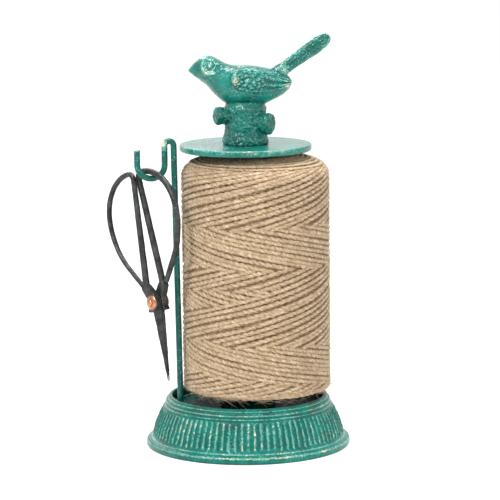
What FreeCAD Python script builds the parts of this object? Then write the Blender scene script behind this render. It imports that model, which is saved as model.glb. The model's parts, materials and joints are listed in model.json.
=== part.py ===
"""Twine holder: cast base, spindle with a spool of twine, bird finial, wire hook and hanging scissors.

The origin is the centre of the foot's underside, +Z is up and -Y is the front. Lengths are in millimetres.
"""
import FreeCAD, Part
import Sketcher
import math
import os

Vector = FreeCAD.Vector

# Driving sizes, in millimetres, degrees and counts
SIZES = {
    "foot_radius": 63.5,
    "foot_height": 4.6,
    "foot_ring_width": 3.6,
    "foot_flange": 3.7,
    "edge_round": 0.4,
    "bell_spread": 6.6,
    "bell_bulge_radius": 54.0,
    "bell_wall": 3.1,
    "flute_start": 2.6,
    "flute_height": 16.8,
    "flute_depth": 0.7,
    "flute_count": 90,
    "shoulder_step": 1.6,
    "shoulder_height": 5.4,
    "rim_step": 1.9,
    "rim_height": 2.1,
    "rim_wall": 2.2,
    "recess_depth": 6.5,
    "floor_thickness": 4.0,
    "boss_radius": 16.0,
    "boss_height": 9.2,
    "under_boss_radius": 11.0,
    "under_boss_drop": 6.0,
    "spindle_radius": 4.0,
    "spindle_chamfer": 0.6,
    "thread_clearance": 0.05,
    "spindle_nut_flats": 13.0,
    "spindle_nut_height": 6.5,
    "jam_nut_height": 4.8,
    "spindle_washer_radius": 8.0,
    "spindle_washer_thickness": 1.6,
    "spindle_foot_spare": 2.4,
    "plate_radius": 40.8,
    "plate_thickness": 3.9,
    "plate_edge_break": 0.4,
    "stud_reach": 14.0,
    "stump_foot_radius": 14.1,
    "stump_waist_radius": 12.4,
    "stump_height": 25.5,
    "stump_waist_height": 6.5,
    "left_knob_radius": 5.7,
    "left_knob_reach": 14.4,
    "left_knob_height": 17.6,
    "right_knob_radius": 6.7,
    "right_knob_reach": 11.8,
    "right_knob_height": 12.2,
    "knob_forward": 5.0,
    "bird_sections": 18,
    "beak_reach": 34.8,
    "beak_height": 45.6,
    "head_width": 17.4,
    "head_height": 54.4,
    "back_height": 48.0,
    "belly_height": 23.6,
    "breast_width": 24.2,
    "rump_reach": 28.4,
    "rump_height": 38.6,
    "tail_width": 9.4,
    "tail_thickness": 7.0,
    "tail_reach": 52.4,
    "tail_height": 66.6,
    "tail_root_inset": 9.0,
    "tail_root_rise": 4.6,
    "wing_length": 38.0,
    "wing_depth": 16.0,
    "wing_height": 37.0,
    "wing_stand": 1.6,
    "wing_place": 3.5,
    "wing_bulge": 5.0,
    "eye_radius": 1.5,
    "eye_inset": 9.4,
    "eye_drop": 6.6,
    "wire_radius": 1.9,
    "wire_sides": 12,
    "hook_forward": 15.0,
    "rod_foot_inset": 8.2,
    "hook_outreach": 16.5,
    "hook_drop": 6.9,
    "hook_radius": 8.4,
    "hook_tip_rise": 9.2,
    "hairpin_radius": 2.8,
    "hairpin_rise": 11.8,
    "rod_hole_clearance": 0.2,
    "hook_nut_flats": 7.0,
    "hook_nut_height": 3.2,
    "hook_washer_radius": 4.5,
    "hook_washer_thickness": 0.8,
    "rod_foot_spare": 1.6,
    "spool_inset": 3.3,
    "spool_lift": 0.3,
    "spool_height": 143.5,
    "spool_play": 0.3,
    "nut_headroom": 1.6,
    "spool_top_rounding": 9.0,
    "spool_bottom_rounding": 5.0,
    "twine_diameter": 2.7,
    "twine_sides": 4,
    "twine_clearance": 0.05,
    "winding_turns": 24,
    "winding_bands": 4,
    "winding_lean": 4.2,
    "tube_radius": 13.0,
    "tube_wall": 2.9,
    "scissors_yaw": 50.0,
    "scissors_tilt": 15.0,
    "half_thickness": 4.6,
    "half_gap": 0.1,
    "contact_gap": 0.5,
    "strand_foot": 5.6,
    "strand_sink": 3.0,
    "strand_radius": 1.9,
    "strand_sides": 8,
    "bow_top": 80.5,
    "bow_crown": 4.0,
    "bow_crown_radius": 27.0,
    "bow_corner_radius": 4.3,
    "bow_side_radius": 45.0,
    "bow_side_turn": 40.0,
    "bow_tail_length": 16.5,
    "lug_radius": 5.2,
    "lug_height": 11.0,
    "lug_width": 7.6,
    "blade_length": 49.0,
    "blade_width": 6.6,
    "blade_thickness": 2.3,
    "blade_set": 3.3,
    "blade_heel": 2.0,
    "rivet_radius": 2.0,
    "rivet_clearance": 0.05,
    "rivet_head_radius": 2.4,
    "rivet_head_height": 0.9,
    "dome_radius": 4.65,
    "dome_height": 1.4,
    "dome_edge": 0.5,
}

doc = FreeCAD.newDocument("twine_holder")
dims = doc.addObject("Spreadsheet::Sheet", "dims")
for row, (alias, number) in enumerate(SIZES.items(), start=1):
    dims.set(f"A{row}", alias)
    dims.set(f"B{row}", str(number))
    dims.setAlias(f"B{row}", alias)
doc.recompute()

# Radii and places that follow from the driving sizes, outside to inside and bottom to top
BELL = "(dims.foot_radius - dims.foot_flange)"
BELL_TOP = f"({BELL} - dims.bell_spread)"
SHOULDER = f"({BELL_TOP} - dims.shoulder_step)"
RIM = f"({SHOULDER} - dims.rim_step)"
SPOOL = f"({RIM} - dims.spool_inset)"
FLUTE_BOTTOM = "(dims.foot_height + dims.flute_start)"
FLUTE_TOP = f"({FLUTE_BOTTOM} + dims.flute_height)"
SHOULDER_TOP = f"({FLUTE_TOP} + dims.shoulder_height)"
RIM_TOP = f"({SHOULDER_TOP} + dims.rim_height)"
RECESS_FLOOR = f"({RIM_TOP} - dims.recess_depth)"
CEILING = f"({RECESS_FLOOR} - dims.floor_thickness)"
BOSS_TOP = f"({RECESS_FLOOR} + dims.boss_height)"
SPOOL_BOTTOM = f"({BOSS_TOP} + dims.spool_lift)"
SPOOL_TOP = f"({SPOOL_BOTTOM} + dims.spool_height)"
SPOOL_OFFSET = "(dims.tube_radius - dims.tube_wall - dims.spindle_radius - dims.spool_play)"
PLATE_BOTTOM = f"({SPOOL_TOP} + dims.nut_headroom + dims.jam_nut_height)"
PLATE_TOP = f"({PLATE_BOTTOM} + dims.plate_thickness)"
ROD_FOOT_REACH = f"({RIM} - dims.rod_foot_inset)"
HOOK_REACH = f"({ROD_FOOT_REACH} + dims.hook_outreach)"
HOOK_HEIGHT = f"({PLATE_BOTTOM} - dims.hook_drop)"

parts = []
worked = {}


def size(alias):
    """One driving size, read from the sheet."""
    return float(getattr(dims, alias))


def place_of(expression):
    """The number that one of the expressions above comes to."""
    if expression not in worked:
        worked[expression] = float(dims.evalExpression(expression))
    return worked[expression]


def finished(thing, label):
    """Name a finished sub-part and put it on the list that is checked and written."""
    thing.Label = label
    parts.append(thing)
    return thing


def body_named(name):
    return doc.addObject("PartDesign::Body", name + "_body")


def origin_plane(body, role):
    return [feature for feature in body.Origin.OriginFeatures if feature.Role == role][0]


def sketch_on(body, name, role, lift=0.0):
    """An empty sketch on one of the body's origin planes, moved by lift along the plane's normal."""
    sketch = body.newObject("Sketcher::SketchObject", name)
    sketch.AttachmentSupport = (origin_plane(body, role), "")
    sketch.MapMode = "FlatFace"
    sketch.AttachmentOffset = FreeCAD.Placement(Vector(0, 0, lift), FreeCAD.Rotation())
    return sketch


def arc_middle(start, end, radius):
    """The middle of the minor arc from start to end, which bulges to the right where radius is positive."""
    chord = end - start
    half = chord.Length / 2
    rise = abs(radius) - math.sqrt(radius ** 2 - half ** 2)
    right = Vector(chord.y, -chord.x, 0).normalize()
    return (start + end) * 0.5 + right * math.copysign(rise, radius)


def outline(sketch, corners):
    """A closed outline whose corners are bound to the sheet.

    Each corner is (x, y) as expressions, or (x, y, radius, side) where an arc leaves it. Side +1 bulges
    to the right.
    """
    places = [Vector(sketch.evalExpression(c[0]), sketch.evalExpression(c[1]), 0) for c in corners]
    count = len(corners)
    ends = []
    for index, corner in enumerate(corners):
        start = places[index]
        end = places[(index + 1) % count]
        if len(corner) == 4:
            radius = sketch.evalExpression(corner[2]) * corner[3]
            sketch.addGeometry(Part.Arc(start, arc_middle(start, end, radius), end))
            ends.append((1, 2) if corner[3] > 0 else (2, 1))
        else:
            sketch.addGeometry(Part.LineSegment(start, end))
            ends.append((1, 2))
    for index in range(count):
        after = (index + 1) % count
        sketch.addConstraint(Sketcher.Constraint("Coincident", index, ends[index][1], after, ends[after][0]))
    for index, corner in enumerate(corners):
        place = places[index]
        for kind, expression, value in (("DistanceX", corner[0], place.x), ("DistanceY", corner[1], place.y)):
            bound = sketch.addConstraint(Sketcher.Constraint(kind, -1, 1, index, ends[index][0], value))
            sketch.setExpression(f"Constraints[{bound}]", expression)
        if len(corner) == 4:
            radius = sketch.evalExpression(corner[2])
            bound = sketch.addConstraint(Sketcher.Constraint("Radius", index, radius))
            sketch.setExpression(f"Constraints[{bound}]", corner[2])
    return sketch


def circle(sketch, radius, x="0", y="0"):
    """A circle in a sketch, its radius and centre bound to the sheet."""
    place = Vector(sketch.evalExpression(x), sketch.evalExpression(y), 0)
    value = sketch.evalExpression(radius)
    index = sketch.addGeometry(Part.Circle(place, Vector(0, 0, 1), value))
    bound = sketch.addConstraint(Sketcher.Constraint("Radius", index, value))
    sketch.setExpression(f"Constraints[{bound}]", radius)
    for kind, expression, along in (("DistanceX", x, place.x), ("DistanceY", y, place.y)):
        bound = sketch.addConstraint(Sketcher.Constraint(kind, -1, 1, index, 3, along))
        sketch.setExpression(f"Constraints[{bound}]", expression)
    return sketch


def revolved(body, name, corners):
    """A full turn of an outline, drawn as radius and height, about the body's Z axis."""
    sketch = outline(sketch_on(body, name + "_profile", "XZ_Plane"), corners)
    turned = body.newObject("PartDesign::Revolution", name)
    turned.Profile = sketch
    turned.ReferenceAxis = (sketch, ["V_Axis"])
    turned.Angle = 360
    return turned


def ring(label, outer, inner, thickness, place):
    """A flat round piece with a hole, such as a washer, standing on place."""
    body = body_named(label)
    sketch = sketch_on(body, label + "_outline", "XY_Plane")
    circle(sketch, outer)
    circle(sketch, inner)
    pad = body.newObject("PartDesign::Pad", label + "_pad")
    pad.Profile = sketch
    pad.setExpression("Length", thickness)
    body.Placement.Base = place
    return finished(body, label)


def hex_nut(label, flats, bore, height, place):
    """A hexagon nut standing on place."""
    body = body_named(label)
    sketch = sketch_on(body, label + "_outline", "XY_Plane")
    corners = []
    for corner in range(6):
        turn = math.radians(60 * corner)
        reach = 0.5 / math.cos(math.radians(30))
        corners.append((f"{flats} * {reach * math.cos(turn):.9f}", f"{flats} * {reach * math.sin(turn):.9f}"))
    outline(sketch, corners)
    circle(sketch, bore)
    pad = body.newObject("PartDesign::Pad", label + "_pad")
    pad.Profile = sketch
    pad.setExpression("Length", height)
    body.Placement.Base = place
    return finished(body, label)


def feature(name, shape):
    """A plain feature that holds a shape made by code."""
    thing = doc.addObject("Part::Feature", name)
    thing.Shape = shape
    return thing


def bell_surface(height):
    """Radius of the bell's convex side at a height between the flutes' ends."""
    low = Vector(place_of(BELL), place_of(FLUTE_BOTTOM), 0)
    high = Vector(place_of(BELL_TOP), place_of(FLUTE_TOP), 0)
    bulge = size("bell_bulge_radius")
    middle = (low + high) * 0.5
    inward = Vector(-(high - low).y, (high - low).x, 0).normalize()
    centre = middle + inward * math.sqrt(bulge ** 2 - ((high - low).Length / 2) ** 2)
    return centre.x + math.sqrt(bulge ** 2 - (height - centre.y) ** 2)


def grooved(body, name, corners):
    """Material turned away inside an outline, drawn as radius and height."""
    sketch = outline(sketch_on(body, name + "_profile", "XZ_Plane"), corners)
    cut = body.newObject("PartDesign::Groove", name)
    cut.Profile = sketch
    cut.ReferenceAxis = (sketch, ["V_Axis"])
    cut.Angle = 360
    return cut


def bored(body, name, radius, x="0", y="0"):
    """A round hole along Z, all through the body."""
    sketch = circle(sketch_on(body, name + "_outline", "XY_Plane"), radius, x, y)
    pocket = body.newObject("PartDesign::Pocket", name)
    pocket.Profile = sketch
    pocket.Type = "ThroughAll"
    pocket.Midplane = True
    return pocket


def flute_ring(body, level, height):
    """The fluted outline at one height: ridges on the bell's surface, valleys between, and a round inside."""
    sketch = sketch_on(body, f"flute_ring_{level}", "XY_Plane", height)
    count = int(size("flute_count"))
    ridge = bell_surface(height)
    valley = ridge * (1 - size("flute_depth") / place_of(BELL))
    points = []
    for half in range(2 * count):
        turn = math.pi * half / count
        reach = valley if half % 2 else ridge
        points.append(Vector(reach * math.cos(turn), reach * math.sin(turn), 0))
    for index, point in enumerate(points):
        sketch.addGeometry(Part.LineSegment(point, points[(index + 1) % len(points)]))
    sketch.addGeometry(Part.Circle(Vector(0, 0, 0), Vector(0, 0, 1), ridge - 3 * size("flute_depth")))
    return sketch


def make_base():
    """The bell: turned form, hollow underside, holes for the spindle and the hook rod, and cast flutes."""
    body = body_named("base")
    edge = "dims.edge_round"
    under_flutes = f"(dims.flute_depth + {edge} / 2)"
    revolved(body, "bell", [
        ("0", "0"),
        (f"dims.foot_radius - 1.5 * {edge}", "0"),
        ("dims.foot_radius", f"2 * {edge}"),
        ("dims.foot_radius", f"dims.foot_height - 3 * {edge}"),
        (f"dims.foot_radius - 3.25 * {edge}", "dims.foot_height"),
        (f"{BELL} + 1.25 * {edge}", f"dims.foot_height + 2 * {edge}"),
        (BELL, FLUTE_BOTTOM),
        (f"{BELL} - {under_flutes}", FLUTE_BOTTOM),
        (f"{BELL_TOP} - {under_flutes}", FLUTE_TOP),
        (BELL_TOP, FLUTE_TOP),
        (f"{BELL_TOP} - 0.75 * {edge}", f"{FLUTE_TOP} + 1.5 * {edge}"),
        (SHOULDER, f"{FLUTE_TOP} + 3 * {edge}"),
        (f"{SHOULDER} + {edge} / 2", f"{FLUTE_TOP} + 6 * {edge}"),
        (f"{SHOULDER} - 0.75 * {edge}", f"{SHOULDER_TOP} - 3 * {edge}"),
        (f"{SHOULDER} - 3.5 * {edge}", SHOULDER_TOP),
        (RIM, f"{SHOULDER_TOP} + {edge}"),
        (RIM, f"{RIM_TOP} - 1.75 * {edge}"),
        (f"{RIM} - 2 * {edge}", RIM_TOP),
        (f"{RIM} - dims.rim_wall", RIM_TOP),
        (f"{RIM} - dims.rim_wall - 2.25 * {edge}", RECESS_FLOOR),
        (f"dims.boss_radius + 4 * {edge}", RECESS_FLOOR),
        ("dims.boss_radius", BOSS_TOP),
        ("0", BOSS_TOP),
    ])
    grooved(body, "underside", [
        ("0", f"-{edge}"),
        ("dims.foot_radius - dims.foot_ring_width", f"-{edge}"),
        ("dims.foot_radius - dims.foot_ring_width", "0"),
        (f"{BELL} - dims.bell_wall", f"dims.foot_height + 3 * {edge}"),
        (f"{BELL_TOP} - dims.bell_wall", CEILING),
        (f"dims.under_boss_radius + 3.5 * {edge}", CEILING),
        ("dims.under_boss_radius", f"{CEILING} - dims.under_boss_drop"),
        ("0", f"{CEILING} - dims.under_boss_drop"),
    ])
    bored(body, "spindle_hole", "dims.spindle_radius + dims.thread_clearance")
    bored(body, "rod_hole", "dims.wire_radius + dims.rod_hole_clearance", f"-{ROD_FOOT_REACH}",
          "-dims.hook_forward")
    levels = 3
    rings = []
    for level in range(levels):
        rise = size("flute_height") * level / (levels - 1)
        rings.append(flute_ring(body, level, place_of(FLUTE_BOTTOM) + rise))
    flutes = body.newObject("PartDesign::AdditiveLoft", "flutes")
    flutes.Profile = rings[0]
    flutes.Sections = rings[1:]
    flutes.Ruled = True
    finished(body, "base_casting")


def make_spindle_set():
    """The spindle with its washer and nut under the base and the jam nut that carries the plate."""
    washer_top = place_of(CEILING) - size("under_boss_drop")
    washer_bottom = washer_top - size("spindle_washer_thickness")
    nut_bottom = washer_bottom - size("spindle_nut_height")
    body = body_named("spindle")
    foot = (f"({CEILING} - dims.under_boss_drop - dims.spindle_washer_thickness"
            " - dims.spindle_nut_height - dims.spindle_foot_spare)")
    head = f"({PLATE_TOP} + dims.stud_reach)"
    revolved(body, "rod", [
        ("0", foot),
        ("dims.spindle_radius - dims.spindle_chamfer", foot),
        ("dims.spindle_radius", f"{foot} + dims.spindle_chamfer"),
        ("dims.spindle_radius", f"{head} - dims.spindle_chamfer"),
        ("dims.spindle_radius - dims.spindle_chamfer", head),
        ("0", head),
    ])
    finished(body, "spindle")
    bore = "dims.spindle_radius + dims.thread_clearance"
    ring("spindle_washer", "dims.spindle_washer_radius", bore, "dims.spindle_washer_thickness",
         Vector(0, 0, washer_bottom))
    hex_nut("spindle_nut", "dims.spindle_nut_flats", bore, "dims.spindle_nut_height",
            Vector(0, 0, nut_bottom))
    hex_nut("plate_nut", "dims.spindle_nut_flats", bore, "dims.jam_nut_height",
            Vector(0, 0, place_of(PLATE_BOTTOM) - size("jam_nut_height")))


def make_top_plate():
    body = body_named("plate")
    bore = "dims.spindle_radius + 2 * dims.thread_clearance"
    revolved(body, "disc", [
        (bore, PLATE_BOTTOM),
        ("dims.plate_radius - dims.plate_edge_break", PLATE_BOTTOM),
        ("dims.plate_radius", f"{PLATE_BOTTOM} + dims.plate_edge_break"),
        ("dims.plate_radius", f"{PLATE_TOP} - dims.plate_edge_break"),
        ("dims.plate_radius - dims.plate_edge_break", PLATE_TOP),
        (bore, PLATE_TOP),
    ])
    finished(body, "top_plate")


def rounded_section(centre, across, up, half_across, half_up):
    """A closed smooth section through eight points, full in the shoulders, in the plane of across and up."""
    points = []
    for step in range(8):
        turn = math.pi / 4 * step
        full = 1.04 if step % 2 else 1.0
        points.append(centre + across * (half_across * full * math.cos(turn))
                      + up * (half_up * full * math.sin(turn)))
    curve = Part.BSplineCurve()
    curve.interpolate(Points=points, PeriodicFlag=True)
    return Part.Wire([curve.toShape()])


def smooth_stations(stations, count):
    """The stations' numbers read again at count even steps, along smooth curves through them."""
    curves = []
    for column in range(1, len(stations[0])):
        curve = Part.BSplineCurve()
        curve.interpolate([Vector(station[0], station[column], 0) for station in stations])
        curves.append(curve)
    first = stations[0][0]
    last = stations[-1][0]
    even = []
    for step in range(count + 1):
        reach = first + (last - first) * step / count
        across = Part.Line(Vector(reach, -1, 0), Vector(reach, 1, 0))
        row = [reach]
        for curve in curves:
            spot = curve.intersectCC(across)[0]
            row.append(spot.Y)
        even.append(row)
    return even


def bird_trunk():
    """The bird's head and body: a loft through sections from the beak to the rump."""
    head = size("head_height")
    back = size("back_height")
    belly = size("belly_height")
    beak = size("beak_height")
    rump = size("rump_height")
    head_half = size("head_width") / 2
    breast_half = size("breast_width") / 2
    front = size("beak_reach")
    rear = size("rump_reach")
    stations = [
        (-front, beak + 0.6, beak - 0.6, 0.6),
        (-front + 3.2, head - 4.8, beak - 3.0, head_half * 0.33),
        (-front + 7.2, head - 1.0, beak - 6.2, head_half * 0.8),
        (-front + 12.8, head, beak - 11.2, head_half),
        (-front + 20.0, head - 3.2, belly + 3.8, breast_half * 0.84),
        (-front + 28.8, back + 0.4, belly + 0.3, breast_half * 0.98),
        (rear - 24.4, back - 0.2, belly, breast_half),
        (rear - 15.4, back - 1.4, belly + 1.8, breast_half * 0.86),
        (rear - 7.2, back - 3.6, rump - 9.6, breast_half * 0.56),
        (rear, rump + 2.6, rump - 2.4, breast_half * 0.17),
    ]
    plate = place_of(PLATE_TOP)
    sections = []
    for reach, top, bottom, half in smooth_stations(stations, int(size("bird_sections"))):
        centre = Vector(reach, 0, plate + (top + bottom) / 2)
        sections.append(rounded_section(centre, Vector(0, 1, 0), Vector(0, 0, 1), half, (top - bottom) / 2))
    return Part.makeLoft(sections, True, True)


def bird_tail():
    """The tail: a paddle lofted along a line that rises from the rump to the tip."""
    plate = place_of(PLATE_TOP)
    root = Vector(size("rump_reach") - size("tail_root_inset"), 0,
                  plate + size("rump_height") + size("tail_root_rise"))
    tip = Vector(size("tail_reach") - 0.6, 0, plate + size("tail_height") - 0.6)
    along = (tip - root).normalize()
    up = Vector(-along.z, 0, along.x)
    length = (tip - root).Length
    wide = size("tail_width") / 2
    thick = size("tail_thickness") / 2
    shares = [(0.0, 1.0, 1.0), (0.3, 0.9, 0.86), (0.55, 0.93, 0.8), (0.75, 1.0, 0.78), (0.88, 0.86, 0.66),
              (0.96, 0.6, 0.46), (1.0, 0.3, 0.26)]
    sections = []
    for share, half_up, half_across in shares:
        centre = root + along * (length * share)
        sections.append(rounded_section(centre, Vector(0, 1, 0), up, thick * half_across, wide * half_up))
    return Part.makeLoft(sections, True, True)


def ellipsoid(name, centre, along, across, up, tilt=0.0):
    """An ellipsoid with half sizes along X, Y and Z, tilted about Y."""
    ball = doc.addObject("Part::Ellipsoid", name)
    ball.Radius1 = up
    ball.Radius2 = along
    ball.Radius3 = across
    ball.Placement = FreeCAD.Placement(centre, FreeCAD.Rotation(Vector(0, 1, 0), tilt))
    return ball


def make_bird():
    """The finial: a bird with folded wings on a stump with two cut branches, bored for the spindle's end."""
    plate = place_of(PLATE_TOP)
    stump = body_named("stump")
    edge = "dims.edge_round"
    revolved(stump, "trunk", [
        ("0", PLATE_TOP),
        ("dims.stump_foot_radius", PLATE_TOP),
        (f"dims.stump_foot_radius - {edge}", f"{PLATE_TOP} + dims.stump_waist_height * 0.6"),
        ("dims.stump_waist_radius", f"{PLATE_TOP} + dims.stump_waist_height"),
        (f"dims.stump_waist_radius + 1.5 * {edge}", f"{PLATE_TOP} + dims.stump_height * 0.57"),
        (f"dims.stump_waist_radius - {edge} / 2", f"{PLATE_TOP} + dims.stump_height * 0.84"),
        (f"dims.stump_waist_radius - 6 * {edge}", f"{PLATE_TOP} + dims.stump_height"),
        ("0", f"{PLATE_TOP} + dims.stump_height"),
    ])
    knobs = []
    for side, name in ((-1, "left_knob"), (1, "right_knob")):
        knob = doc.addObject("Part::Sphere", name)
        knob.setExpression("Radius", f"dims.{name}_radius")
        rise = plate + size(name + "_height")
        knob.Placement.Base = Vector(side * size(name + "_reach"), -size("knob_forward"), rise)
        knobs.append(knob)
    wings = []
    for side, name in ((-1, "near_wing"), (1, "far_wing")):
        stand = size("breast_width") / 2 + size("wing_stand")
        bulge = size("wing_bulge")
        centre = Vector(size("wing_place"), side * (stand - bulge), plate + size("wing_height"))
        wings.append(ellipsoid(name, centre, size("wing_length") / 2, bulge, size("wing_depth") / 2, 4.0))
    eyes = []
    for side, name in ((-1, "near_eye"), (1, "far_eye")):
        eye = doc.addObject("Part::Cylinder", name)
        eye.setExpression("Radius", "dims.eye_radius")
        eye.setExpression("Height", "dims.head_width / 2")
        eye_height = plate + size("head_height") - size("eye_drop")
        spot = Vector(size("eye_inset") - size("beak_reach"), 0, eye_height)
        eye.Placement = FreeCAD.Placement(spot, FreeCAD.Rotation(Vector(1, 0, 0), -90 * side))
        eyes.append(eye)
    joined = doc.addObject("Part::MultiFuse", "bird_joined")
    cast = [feature("bird_body", bird_trunk()), feature("bird_tail", bird_tail()), stump]
    joined.Shapes = cast + knobs + wings + eyes
    bore = doc.addObject("Part::Cylinder", "bird_bore")
    bore.setExpression("Radius", "dims.spindle_radius + dims.thread_clearance")
    bore.setExpression("Height", "dims.stud_reach + 2")
    bore.Placement.Base = Vector(0, 0, plate - 1)
    cut = doc.addObject("Part::Cut", "bird_cut")
    cut.Base = joined
    cut.Tool = bore
    finished(cut, "bird_finial")


def many_sided(centre, heading, outward, radius, sides):
    """A closed outline of even sides round centre, square to heading, with a flat side towards outward."""
    outward = (outward - heading * outward.dot(heading)).normalize()
    sideways = heading.cross(outward)
    corners = []
    for corner in range(sides):
        turn = 2 * math.pi * (corner + 0.5) / sides
        corners.append(centre + outward * (radius * math.cos(turn)) + sideways * (radius * math.sin(turn)))
    return Part.makePolygon(corners + corners[:1])


def swept(edges, outward, radius, sides):
    """A wire of even section swept along tangent edges."""
    first = edges[0]
    start = first.valueAt(first.FirstParameter)
    heading = first.tangentAt(first.FirstParameter)
    return Part.Wire(edges).makePipeShell([many_sided(start, heading, outward, radius, sides)], True, False)


def line(start, end):
    return Part.LineSegment(start, end).toShape()


def arc_about(centre, radius, start_angle, end_angle, flat):
    """An arc in the plane that flat gives, between angles in degrees."""
    points = []
    for angle in (start_angle, (start_angle + end_angle) / 2, end_angle):
        turn = math.radians(angle)
        points.append(flat(centre[0] + radius * math.cos(turn), centre[1] + radius * math.sin(turn)))
    return Part.Arc(*points).toShape()


def make_hook_rod():
    """The wire: up from the base with a slight lean, over the hairpin, down, and round the hook."""
    def flat(across, height):
        return Vector(across, -size("hook_forward"), height)

    floor_under = place_of(CEILING)
    nut_bottom = floor_under - size("hook_washer_thickness") - size("hook_nut_height")
    foot = (-place_of(ROD_FOOT_REACH), nut_bottom - size("rod_foot_spare"))
    hook_centre = (-place_of(HOOK_REACH), place_of(HOOK_HEIGHT))
    hairpin = (hook_centre[0] + size("hook_radius") + size("hairpin_radius"),
               hook_centre[1] + size("hairpin_rise"))
    run = (hairpin[0] - foot[0], hairpin[1] - foot[1])
    aim = math.atan2(run[1], run[0]) - math.asin(size("hairpin_radius") / math.hypot(*run))
    lean = math.degrees(aim) - 90
    first_arc = arc_about(hairpin, size("hairpin_radius"), lean, 180, flat)
    second_arc = arc_about(hook_centre, size("hook_radius"), 0, -180, flat)
    tip = flat(hook_centre[0] - size("hook_radius"), hook_centre[1] + size("hook_tip_rise"))
    edges = [
        line(flat(*foot), first_arc.valueAt(first_arc.FirstParameter)),
        first_arc,
        line(first_arc.valueAt(first_arc.LastParameter), second_arc.valueAt(second_arc.FirstParameter)),
        second_arc,
        line(second_arc.valueAt(second_arc.LastParameter), tip),
    ]
    wire = swept(edges, Vector(0, 1, 0), size("wire_radius"), int(size("wire_sides")))
    finished(feature("hook_wire", wire), "hook_rod")
    bore = "dims.wire_radius + dims.rod_hole_clearance"
    ring("hook_washer", "dims.hook_washer_radius", bore, "dims.hook_washer_thickness",
         Vector(foot[0], -size("hook_forward"), floor_under - size("hook_washer_thickness")))
    hex_nut("hook_nut", "dims.hook_nut_flats", bore, "dims.hook_nut_height",
            Vector(foot[0], -size("hook_forward"), nut_bottom))


def wound_radius(height):
    """Outer radius of the wound twine at a height, with its rounded top and bottom."""
    top = place_of(SPOOL_TOP) - size("spool_top_rounding")
    bottom = place_of(SPOOL_BOTTOM) + size("spool_bottom_rounding")
    if height > top:
        rounding = size("spool_top_rounding")
        over = height - top
    elif height < bottom:
        rounding = size("spool_bottom_rounding")
        over = bottom - height
    else:
        return place_of(SPOOL)
    return place_of(SPOOL) - rounding + math.sqrt(max(rounding ** 2 - over ** 2, 0))


def winding_point(turns):
    """A point on the twine's centre line after so many turns: loops that lean one way, then the other."""
    radius = size("twine_diameter") / 2
    low = place_of(SPOOL_BOTTOM) + size("spool_bottom_rounding") * 0.6 + radius
    high = place_of(SPOOL_TOP) - size("spool_top_rounding") * 0.5 - radius
    share = turns / size("winding_turns")
    angle = 2 * math.pi * turns
    lean = -size("winding_lean") * math.sin(math.pi * size("winding_bands") * share)
    height = low + (high - low) * share + lean * math.cos(angle)
    reach = wound_radius(height) - radius
    return Vector(reach * math.cos(angle), reach * math.sin(angle), height)


def winding_heading(turns):
    step = 0.002
    return (winding_point(turns + step) - winding_point(turns - step)).normalize()


def tangent_arc(start, heading, end):
    """The arc that leaves start along heading and reaches end."""
    chord = end - start
    along = Vector(chord).normalize()
    side = heading - along * heading.dot(along)
    bend = math.atan2(side.Length, heading.dot(along))
    middle = (start + end) * 0.5 + side.normalize() * (chord.Length / 2 * math.tan(bend / 2))
    return Part.Arc(start, middle, end).toShape()


def biarc(start, start_heading, end, end_heading):
    """Two tangent arcs from start to end that keep both headings."""
    chord = end - start
    both = start_heading + end_heading
    turned = 2 * (1 - start_heading.dot(end_heading))
    reach = (-chord.dot(both) + math.sqrt(chord.dot(both) ** 2 + turned * chord.dot(chord))) / turned
    joint = (start + start_heading * reach + end - end_heading * reach) * 0.5
    middle_heading = (joint - start - start_heading * reach).normalize()
    return [tangent_arc(start, start_heading, joint), tangent_arc(joint, middle_heading, end)]


def winding_gap(samples=60):
    """The least gap between one turn and the next, measured on points of the centre line."""
    turns = int(size("winding_turns"))
    points = [winding_point(step / samples) for step in range(turns * samples + 1)]
    least = math.inf
    for index, point in enumerate(points):
        for other in range(index + samples // 2, min(index + 2 * samples, len(points))):
            least = min(least, (point - points[other]).Length)
    return least - size("twine_diameter")


def make_winding():
    """The outer layer of twine: one unbroken cord of even loops, laid along arcs within each quarter turn."""
    turns = int(size("winding_turns"))
    edges = []
    quarters = 4 * turns
    for quarter in range(quarters):
        start = quarter / 4
        end = (quarter + 1) / 4
        edges += biarc(winding_point(start), winding_heading(start), winding_point(end), winding_heading(end))
    first = winding_point(0)
    last = winding_point(turns)
    straight = size("twine_diameter")
    edges.insert(0, line(first - winding_heading(0) * straight, first))
    edges.append(line(last, last + winding_heading(turns) * straight))
    sides = int(size("twine_sides"))
    radius = size("twine_diameter") / 2
    winding = swept(edges, Vector(first.x, first.y, 0), radius, sides)
    section = radius ** 2 * sides / 2 * math.sin(2 * math.pi / sides)
    length = Part.Wire(edges).Length
    print(f"winding: {winding.Volume:.0f} mm3, section times length {section * length:.0f} mm3")
    print(f"winding: least gap to itself {winding_gap():.2f} mm")
    thing = feature("winding", winding)
    thing.Placement.Base = Vector(place_of(SPOOL_OFFSET), 0, 0)
    finished(thing, "twine_winding")


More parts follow.
